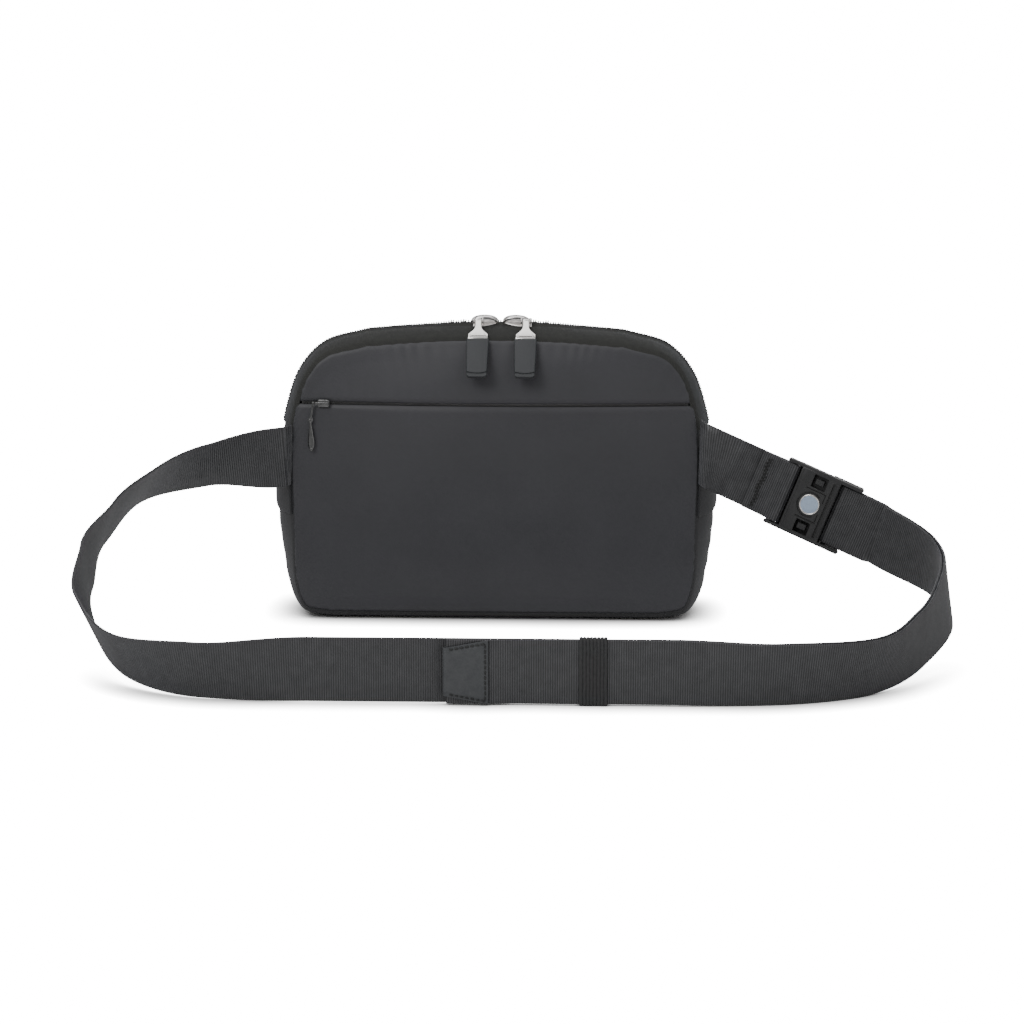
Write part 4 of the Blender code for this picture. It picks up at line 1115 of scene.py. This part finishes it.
def leatherTab():
    tailY, z = web["frontY"] - web["tabLayer"], web["midZ"]
    near = web["thick"] / 2 + tab["gap"]
    front = tailY - near - tab["cover"] / 2
    back = tailY + near + tab["under"] / 2
    radius = (back - front) / 2
    midY = (back + front) / 2
    line = [(tab["x1"] - (tab["x1"] - tab["x0"] - radius) * k / 12, front) for k in range(12)]
    bend = [math.pi * k / 8 for k in range(9)]
    line += [(tab["x0"] + radius - radius * math.sin(t), midY - radius * math.cos(t)) for t in bend]
    line += [(tab["x0"] + radius + (tab["x1"] - tab["x0"] - radius) * k / 12, back) for k in range(1, 13)]
    count = len(line) - 1
    sections = 12

    def place(u, v):
        x, y = line[round(u * count)]
        half = tabHalf(x)
        height = -half + 2 * half * v
        onFront = ease((midY - y) / (midY - front)) if y < midY else 0.0
        edge = min(half - abs(height), tab["x1"] - x)
        crown = 0.00035 * ease(edge / 0.004) - 0.0003 * math.exp(-((edge - tab["inset"]) / 0.0007) ** 2)
        return Vector((x, y - onFront * (crown + 0.0001 * wobble(x, height, 0, 0.004)), z + height))

    obj = gridSheet("leatherEndTab", count, sections * 3, place, 0.06, 0.038, None)
    applyModifier(obj, "SOLIDIFY", thickness=0.0009, offset=0.0)
    editMesh(obj, (bpy.ops.mesh.normals_make_consistent, {"inside": False}))
    applyModifier(obj, "BEVEL", width=0.00025, segments=2, limit_method="ANGLE", angle_limit=math.radians(50))
    smooth(obj, 40)
    finish(obj, looks["leather"], "tab_leather", "bag", "strap_end_tab")

    rise = front - tab["cover"] / 2 - 0.0001
    inset, out = tab["inset"], Vector((0, -1, 0))
    x0, x1 = tab["x0"] + 0.003, tab["x1"] - inset
    reach0, reach1 = tabHalf(x0) - inset, tabHalf(x1) - inset
    corner = [(x0, reach0), (x1, reach1), (x1, -reach1), (x0, -reach0)]
    line = [(Vector((x, rise, z + h)), out) for x, h in corner]
    stitches = stitchRow("tabStitches", line, tab["stitchPitch"], tab["stitchLength"], tab["stitchRadius"])
    finish(stitches, looks["thread"], "tab_leather", "bag")


leatherTab()


# elastic keeper
keeper = {"x0": 0.0566, "x1": 0.0726, "ribs": 8, "skin": 0.0007, "rib": 0.00065, "gap": 0.0003}


def elasticKeeper():
    near = web["frontY"] - web["layer"] - web["thick"] / 2 - keeper["gap"]
    far = web["frontY"] + web["thick"] / 2 + keeper["gap"]
    half = web["width"] / 2 + 0.0002
    z = web["midZ"]
    loop = roundedBox(near, far, z - half, z + half, 0.0009, 5)
    loop = [Vector(p) for p in loop]
    middle = Vector(((near + far) / 2, z))
    fine = []
    for a, b in zip(loop, loop[1:] + loop[:1]):
        pieces = max(int((b - a).length / 0.002), 1)
        fine += [a.lerp(b, k / pieces) for k in range(pieces)]
    count = len(fine)
    normals = []
    for i in range(count):
        along = (fine[(i + 1) % count] - fine[i - 1]).normalized()
        normals.append(Vector((along.y, -along.x)))
    across = keeper["ribs"] * 6

    def place(u, v):
        i = round(u * count) % count
        rib = abs(math.sin(math.pi * keeper["ribs"] * v)) ** 0.7
        spot = fine[i] + normals[i] * (keeper["skin"] * 0.55 + keeper["rib"] * rib)
        slip = 0.0002 * wobble(spot.y, 0, v * 0.01, 0.006)
        return Vector((keeper["x0"] + (keeper["x1"] - keeper["x0"]) * v + slip, spot.x, max(spot.y, 0.0)))

    obj = gridSheet("elasticKeeper", count, across, place, 0.09, 0.016,
                    facingFrom(((keeper["x0"] + keeper["x1"]) / 2, middle.x, z)))
    editMesh(obj, (bpy.ops.mesh.remove_doubles, {"threshold": 0.000002}))
    applyModifier(obj, "SOLIDIFY", thickness=0.0003, offset=-1.0)
    smooth(obj, 50)
    finish(obj, looks["elastic"], "elastic", "keeper", "strap_keeper")


elasticKeeper()
print("stage: end tab and keeper")


# buckle
buckle = {
    "half": 25.0, "railIn": 19.6, "railOut": 21.8, "plate": (-15.0, 11.0), "window": (-6.2, 3.2, 10.8, 19.0),
    "discX": -2.3, "discR": 6.0, "slot": (6.7, 8.5, 18.0), "grooveDepth": 1.0,
}


def inBuckle(outline, low, high, bevel=0.0, segments=2, name="block"):
    scaled = [(x * mm, y * mm) for x, y in outline]
    return plate(name, scaled, low * mm, high * mm, buckleFrame, bevel * mm, segments)


def arcStrip(cx, cy, inner, outer, start, stop, count):
    points = []
    for radius, order in ((outer, range(count + 1)), (inner, range(count, -1, -1))):
        for k in order:
            turn = math.radians(start + (stop - start) * k / count)
            points.append((cx + radius * math.cos(turn), cy + radius * math.sin(turn)))
    return points


def makeReceiver():
    b = buckle
    edge = b["railIn"] + 0.6
    face = inBuckle(roundedBox(b["plate"][0], b["plate"][1], -edge, edge), 0.9, 3.2, 0.35)
    x0, x1, y0, y1 = b["window"]
    floor = 3.2 - b["grooveDepth"]
    cuts = [(roundedBox(x0, x1, y0, y1, 0.5), -1.0), (roundedBox(x0, x1, -y1, -y0, 0.5), -1.0),
            (ring(b["discX"], 0.0, b["discR"] + 0.35, 40), 2.0),
            (arcStrip(b["discX"], 0.0, 7.1, 8.1, 55, 305, 30), floor),
            (roundedBox(b["slot"][0], b["slot"][1], -b["slot"][2], b["slot"][2], 0.4), 1.6),
            (roundedBox(-8.2, 4.6, 9.0, 9.75), floor), (roundedBox(-8.2, 4.6, -9.75, -9.0), floor),
            (roundedBox(4.5, 5.2, 3.6, 9.75), floor), (roundedBox(4.5, 5.2, -9.75, -3.6), floor)]
    for outline, depth in cuts:
        cutWith(face, inBuckle(outline, depth, 6.0, name="cutter"))
    parts = [face]
    for side in (-1, 1):
        y0, y1 = sorted((side * b["railIn"], side * b["railOut"]))
        parts.append(inBuckle(roundedBox(-b["half"], b["half"], y0, y1, 1.0), -1.7, 3.2, 0.7, 4))
        parts.append(inBuckle(roundedBox(-3.2, 3.6, *sorted((side * 10.0, side * 10.5))), 2.9, 3.45, 0.15))
    parts.append(inBuckle(roundedBox(-21.5, -18.7, -b["railIn"] - 0.5, b["railIn"] + 0.5), -1.4, 1.2, 0.7, 4))
    parts.append(inBuckle(roundedBox(9.2, 10.6, -18.6, 18.6, 0.4), 3.0, 3.65, 0.25, 3))
    parts.append(inBuckle(roundedBox(-14.6, -13.4, -19.0, 19.0, 0.4), 3.0, 3.4, 0.2, 2))
    body = smooth(joinPieces("buckleReceiver", parts), 35)
    finish(body, looks["plastic"], "buckle_plastic", "buckle_receiver", "buckle_receiver")

    # the cap's pale blue is a painted sky reflection
    cap = inBuckle(ring(b["discX"], 0.0, b["discR"] - 0.35, 48), 2.3, 3.5, 0.2, 3, "magnetCap")
    finish(smooth(cap, 40), looks["magnetSkyReflection"], "magnet_steel", "buckle_receiver", "buckle_magnet_cap")
    clearPick()
    bpy.ops.mesh.primitive_torus_add(major_radius=(b["discR"] - 0.1) * mm, minor_radius=0.5 * mm,
                                     major_segments=64, minor_segments=10)
    rim = bpy.context.object
    rim.name = "magnetRim"
    rim.data.transform(buckleFrame @ Matrix.Translation((b["discX"] * mm, 0, 3.35 * mm)))
    finish(smooth(rim, 60), looks["nickel"], "magnet_steel", "buckle_receiver")


def makeTongue():
    b = buckle
    parts = [inBuckle(roundedBox(-18.3, 11.6, -21.4, 21.4, 1.0), -4.2, -2.2, 0.3)]
    for side in (-1, 1):
        y0, y1 = sorted((side * 13.0, side * 16.6))
        parts.append(inBuckle(roundedBox(-2.2, 1.0, y0, y1, 0.4), -2.4, 1.9, 0.3, 3))
        parts.append(inBuckle(roundedBox(-4.6, -1.8, y0, y1, 0.4), 0.9, 1.9, 0.3, 3))
        y0, y1 = sorted((side * b["railIn"], side * b["railOut"]))
        parts.append(inBuckle(roundedBox(4.0, 24.0, y0, y1, 1.0), -5.4, -1.9, 0.4, 3))
    parts.append(inBuckle(roundedBox(4.0, 7.0, -b["railIn"] - 0.5, b["railIn"] + 0.5), -4.6, -2.6, 0.4))
    parts.append(inBuckle(roundedBox(12.4, 15.4, -b["railIn"] - 0.5, b["railIn"] + 0.5), -3.9, -2.1, 0.6, 3))
    body = smooth(joinPieces("buckleTongue", parts), 35)
    finish(body, looks["plastic"], "buckle_plastic", "bag", "buckle_tongue")
    inner = inBuckle(ring(b["discX"], 0.0, b["discR"] - 0.6, 32), -2.1, -0.6, 0.3, 2, "tongueMagnet")
    finish(smooth(inner, 40), looks["nickel"], "magnet_steel", "bag", "buckle_magnet")


makeReceiver()
makeTongue()
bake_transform(stub)
print("stage: buckle")


# main sliders and pulls
slider = {"noseX": 0.003, "nosePart": 0.0006, "length": 0.0185, "half": 0.0046,
          "pullAway": {-1: 0.0136, 1: 0.0160}, "tilt": 48.0, "pivotY": -0.008, "lean": 26.0,
          "archHeight": 0.0045}


def crestFrame(x):
    turn = math.asin(x / bag["arcRadius"])
    z = bag["height"] - bag["arcRadius"] * (1 - math.cos(turn))
    return Matrix.Translation((x, 0.0, z)) @ Matrix.Rotation(turn, 4, "Y")


def sliderOutline(side, tail):
    half, points = slider["length"] / 2, []
    for k in range(13):
        t = k / 12
        x = -half + (half + tail) * t
        points.append((side * x, slider["half"] * math.sin(math.pi / 2 * min(1, 1.35 * t)) ** 0.9))
    ordered = points + [(x, -y) for x, y in reversed(points)][:-1]
    return ordered if side > 0 else list(reversed(ordered))


def makeSlider(side, label):
    nose = slider["noseX"] + side * slider["nosePart"]
    half = slider["length"] / 2
    lean = Matrix.Translation((0, -0.0015, -0.0010)) @ Matrix.Rotation(math.radians(slider["lean"]), 4, "X")
    place = crestFrame(nose + side * half) @ lean
    pivotX = slider["noseX"] + side * slider["pullAway"][side]
    tail = abs(pivotX - nose - side * half) + 3.5 * mm
    parts = [plate("sliderBody", sliderOutline(side, tail), 1.0 * mm, 2.8 * mm, place, 0.45 * mm, 3)]
    ridge = roundedBox(*sorted((-side * 5.2 * mm, side * 3.0 * mm)), -1.5 * mm, 1.5 * mm, 0.7 * mm)
    parts.append(plate("sliderRidge", ridge, 2.6 * mm, 3.7 * mm, place, 0.4 * mm, 3))
    frames = []
    for k in range(25):        # the arched bridge, a rounded band
        turn = math.pi * k / 24
        x = -side * (half - 1.5 * mm) * math.cos(turn)
        z = 2.0 * mm + slider["archHeight"] * math.sin(turn) ** 0.75
        frames.append(Vector((x, 0, z)))
    arch = []
    for i, spot in enumerate(frames):
        ahead = (frames[min(i + 1, 24)] - frames[max(i - 1, 0)]).normalized()
        out = ahead.cross(Vector((0, 1, 0))).normalized()
        out = out if out.z > 0 or abs(out.z) < 0.1 and out.x * spot.x > 0 else -out
        arch.append((place @ spot, place.to_3x3() @ Vector((0, 1, 0)), place.to_3x3() @ out))
    wide, thick = 1.7 * mm, 0.95 * mm
    section = [(wide * math.copysign(abs(math.cos(t)) ** 0.6, math.cos(t)),
                thick * math.copysign(abs(math.sin(t)) ** 0.6, math.sin(t)))
               for t in [2 * math.pi * k / 14 for k in range(14)]]
    parts.append(sweep("sliderArch", arch, section))
    base = Matrix.Translation((pivotX, 0.0, crestFrame(pivotX).translation.z))
    for edge in (-1, 1):       # small eyes that hold the pull's pin
        clearPick()
        bpy.ops.mesh.primitive_torus_add(major_radius=1.25 * mm, minor_radius=0.6 * mm, major_segments=24,
                                         minor_segments=10)
        eye = bpy.context.object
        spot = Matrix.Translation((edge * 2.7 * mm, slider["pivotY"], 3.2 * mm))
        eye.data.transform(base @ (spot @ Matrix.Rotation(math.radians(90), 4, "Y")))
        parts.append(eye)
        arm = plate("eyeArm", roundedBox(*sorted((edge * 2.1 * mm, edge * 3.3 * mm)), -7.0 * mm, -2.0 * mm),
                    1.7 * mm, 3.4 * mm, base, 0.3 * mm, 2)
        parts.append(arm)
    obj = smooth(joinPieces("mainSlider" + label.title(), parts), 40)
    finish(obj, looks["nickel"], "nickel", "main_slider_" + label, "main_slider_" + label)
    makePull(side, label)


def makePull(side, label):
    x = slider["noseX"] + side * slider["pullAway"][side]
    pivot = Vector((x, slider["pivotY"], crestFrame(x).translation.z + 0.0032))
    place = Matrix.Translation(pivot) @ Matrix.Rotation(math.radians(slider["tilt"]), 4, "X")
    outline = [(-1.6, 0.9), (-1.75, -4.2), (-2.1, -6.2), (-3.2, -7.9), (-6.0, -10.6), (-6.1, -13.8),
               (6.1, -13.8), (6.0, -10.6), (3.2, -7.9), (2.1, -6.2), (1.75, -4.2), (1.6, 0.9)]
    shape = [(a * mm, b * mm) for a, b in outline]
    metal = plate("pullPlate", shape, -0.7 * mm, 0.7 * mm, place, 0.16 * mm, 2)
    cutWith(metal, plate("slot", [(a * mm, b * mm) for a, b in roundedBox(-4.3, 4.3, -12.3, -11.7, 0.25)],
                         -2 * mm, 2 * mm, place))
    clearPick()
    bpy.ops.mesh.primitive_cylinder_add(vertices=20, radius=0.9 * mm, depth=3.6 * mm)
    pin = bpy.context.object
    pin.data.transform(place @ Matrix.Rotation(math.radians(90), 4, "Y"))
    applyModifier(pin, "BEVEL", width=0.2 * mm, segments=2, limit_method="ANGLE")
    metal = smooth(joinPieces("mainPullPlate" + label.title(), [metal, pin]), 35)
    body = "main_pull_" + label
    finish(metal, looks["litNickel"], "nickel", body, "main_pull_plate_" + label)

    top, low = -14.0, -41.8
    grip = [(-7.0, top), (-6.95, top - 2), (-6.3, low + 2.4), (-6.0, low + 1.0), (-5.0, low), (5.0, low),
            (6.0, low + 1.0), (6.3, low + 2.4), (6.95, top - 2), (7.0, top)]
    body3 = plate("grip", [(a * mm, b * mm) for a, b in grip], -1.6 * mm, 1.6 * mm, place, 0.7 * mm, 4)
    lip = []
    for k in range(13):
        a = -5.9 + 11.8 * k / 12
        lip.append((a, low + 3.3 - 0.9 * (1 - (a / 5.9) ** 2)))
    bevelled = lip + [(6.6, low - 1.0), (-6.6, low - 1.0)]
    cutter = plate("lip", [(a * mm, b * mm) for a, b in bevelled], 1.05 * mm, 3 * mm, place)
    cutWith(body3, cutter)
    grip3 = smooth(body3, 30)
    grip3.name = "mainPullGrip" + label.title()
    finish(grip3, looks["rubber"], "grip_rubber", body, "main_pull_grip_" + label)


for side, label in ((-1, "left"), (1, "right")):
    makeSlider(side, label)
print("stage: main sliders and pulls")


# pocket zip, its slider and pull
pocket = {"sliderX": -0.1063, "toothPitch": 0.0011}


def pocketCoil():
    # two fine rows of teeth that meet between the folded panel edges
    z = bag["pocketZ"]
    model = stitchModel(0.0013, 0.00030)
    model.data.transform(Matrix.Rotation(math.radians(90), 4, "X"))
    places = []
    x = -0.1190
    k = 0
    while x < 0.1190:
        y = frontY(x, z) + 0.00085
        yaw = math.atan2(frontY(x + 0.001, z) - frontY(x - 0.001, z), 0.002)
        lift = 0.00028 if k % 2 else -0.00028
        places.append(Matrix.Translation((x, y, z + lift)) @ Matrix.Rotation(yaw, 4, "Z")
                      @ Matrix.Rotation(math.radians(62), 4, "Y"))
        x += pocket["toothPitch"] / 2
        k += 1
    teeth = copyAlong("pocketZipTeeth", model, places)

    def place(u, v):
        x = -0.1200 + 0.240 * u
        return Vector((x, frontY(x, z) + 0.0014, z - 0.0013 + 0.0026 * v))

    cord = gridSheet("pocketZipCord", 120, 3, place, 0.233, 0.003, facingAlong((0, -1, 0)))
    applyModifier(cord, "SOLIDIFY", thickness=0.0005, offset=-1.0)
    obj = smooth(joinPieces("pocketZipCoil", [cord, teeth]), 50)
    finish(obj, looks["coil"], "zip_coil", "bag", "pocket_zip_coil")


def pocketTape():
    z = bag["pocketZ"]

    def place(u, v):
        x = -0.111 + 0.222 * u
        return Vector((x, frontY(x, z - 0.008 + 0.016 * v) + 0.0023, z - 0.008 + 0.016 * v))

    obj = gridSheet("pocketZipTape", 120, 12, place, 0.222, 0.016, facingAlong((0, -1, 0)))
    applyModifier(obj, "SOLIDIFY", thickness=0.0005, offset=-1.0)
    finish(smooth(obj, 60), looks["twill"], "zip_tape", "bag", "pocket_zip_tape")


def hangFrame(pivot, yaw, sideways, slope):
    lean = Matrix.Rotation(math.radians(90) - math.atan(slope), 4, "X")
    return Matrix.Translation(pivot) @ Matrix.Rotation(yaw, 4, "Z") @ Matrix.Rotation(sideways, 4, "Y") @ lean


def pocketPull():
    x, z = pocket["sliderX"], bag["pocketZ"]
    face = frontY(x, z)
    slope = (face - frontY(x, z - 0.03)) / 0.03
    yaw = math.atan(2 * bag["frontBulge"] * x / bag["halfWidth"] ** 2)
    base = hangFrame(Vector((x, face - 0.0007, z)), yaw, 0.0, slope) @ Matrix.Translation((-0.0025, 0, 0))

    def block(x0, x1, half, low, high, radius, bevel):
        return plate("block", [(a * mm, b * mm) for a, b in roundedBox(x0, x1, -half, half, radius)],
                     low * mm, high * mm, base, bevel * mm, 3)

    parts = [block(-1.0, 6.5, 2.3, 0.0, 1.6, 1.1, 0.4), block(-2.4, -0.5, 0.7, 0.7, 2.6, 0.3, 0.2),
             block(-1.5, 6.0, 0.7, 1.9, 2.6, 0.3, 0.25), block(4.8, 6.0, 0.7, 1.0, 2.3, 0.3, 0.2)]
    body = smooth(joinPieces("pocketSlider", parts), 40)
    finish(body, looks["shadedNickel"], "nickel", "pocket_slider", "pocket_slider")

    pivot = Vector((x - 0.0063, face - 0.0022, z))
    hang = hangFrame(pivot, yaw, math.radians(8), slope)
    path = [(0.0, 0.9), (0.55, 0.2), (0.35, -1.5), (0.3, -9.0), (0.9, -10.2), (0.9, -11.0), (0.0, -11.7),
            (-0.9, -11.0), (-0.9, -10.2), (-0.3, -9.0), (-0.35, -1.5), (-0.55, 0.2)]
    fine = catmull(path + path[:1], 5)[:-1]
    frames = []
    for i, p in enumerate(fine):
        ahead = (fine[(i + 1) % len(fine)] - fine[i - 1]).normalized()
        side = hang.to_3x3() @ Vector((-ahead.y, ahead.x, 0))
        frames.append((hang @ Vector((p.x * mm, p.y * mm, 0)), side, hang.col[2].xyz.copy()))
    radius = 0.42 * mm
    section = [(radius * math.cos(math.pi * k / 4), radius * math.sin(math.pi * k / 4)) for k in range(8)]
    link = sweep("pocketPullLink", frames + frames[:1], section, 1.0, False)
    finish(smooth(link, 60), looks["shadedNickel"], "nickel", "pocket_link", "pocket_pull_link")

    joint = hang @ Vector((0.0, -0.011, -0.0002))
    dropFrame = hangFrame(joint, yaw, math.radians(-3), slope)
    widths = [(1.3, 0.9), (0.8, 0.75), (-0.2, 0.9), (-1.8, 0.7), (-3.2, 0.8), (-6.0, 1.25), (-10.0, 1.75),
              (-13.5, 2.05), (-16.0, 1.75), (-17.8, 1.1), (-18.5, 0.25)]
    profile = catmull(widths, 4)
    sections = 12

    def place(u, v):
        p = profile[round(u * (len(profile) - 1))]
        turn = 2 * math.pi * (round(v * sections) % sections) / sections
        flatness = 0.42 * min(p.y, 1.5) + 0.15
        return dropFrame @ Vector((p.y * mm * math.cos(turn), p.x * mm, flatness * mm * math.sin(turn)))

    drop = gridSheet("pocketPullDrop", len(profile) - 1, sections, place)
    closeMesh(drop)
    clearPick()
    bpy.ops.mesh.primitive_torus_add(major_radius=1.15 * mm, minor_radius=0.42 * mm, major_segments=20,
                                     minor_segments=8)
    crook = bpy.context.object
    crook.data.transform(dropFrame @ Matrix.Translation((0.3 * mm, 0.9 * mm, 0)))
    drop = smooth(joinPieces("pocketPullDrop", [drop, crook]), 60)
    finish(drop, looks["shadedNickel"], "nickel", "pocket_drop", "pocket_pull_drop")


pocketCoil()
pocketTape()
pocketPull()
print("stage: pocket zip")


# linings
def softenedCopy(node, name, amount):
    # a CAD lining, merged, subdivided and given soft creases
    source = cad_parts[node]
    obj = source.copy()
    obj.data = source.data.copy()
    obj.parent = None
    for key in list(obj.keys()):
        del obj[key]
    obj.name = name
    bpy.context.scene.collection.objects.link(obj)
    editMesh(obj, (bpy.ops.mesh.remove_doubles, {"threshold": 0.00001}),
             (bpy.ops.mesh.subdivide, {"number_cuts": 3}))
    normals = [v.normal.copy() for v in obj.data.vertices]
    for vert, normal in zip(obj.data.vertices, normals):
        flat = Vector((normal.x, normal.y, 0))
        vert.co += flat * amount * wobble(vert.co.x, vert.co.y, vert.co.z * 0.4, 0.018, 13.0)
    smooth(obj, 40)
    return finish(obj, looks["lining"], "lining_cloth", "bag", node)


softenedCopy("main_lining", "mainLining", 0.0008)
softenedCopy("pocket_lining", "pocketLining", 0.0)
print("stage: linings")
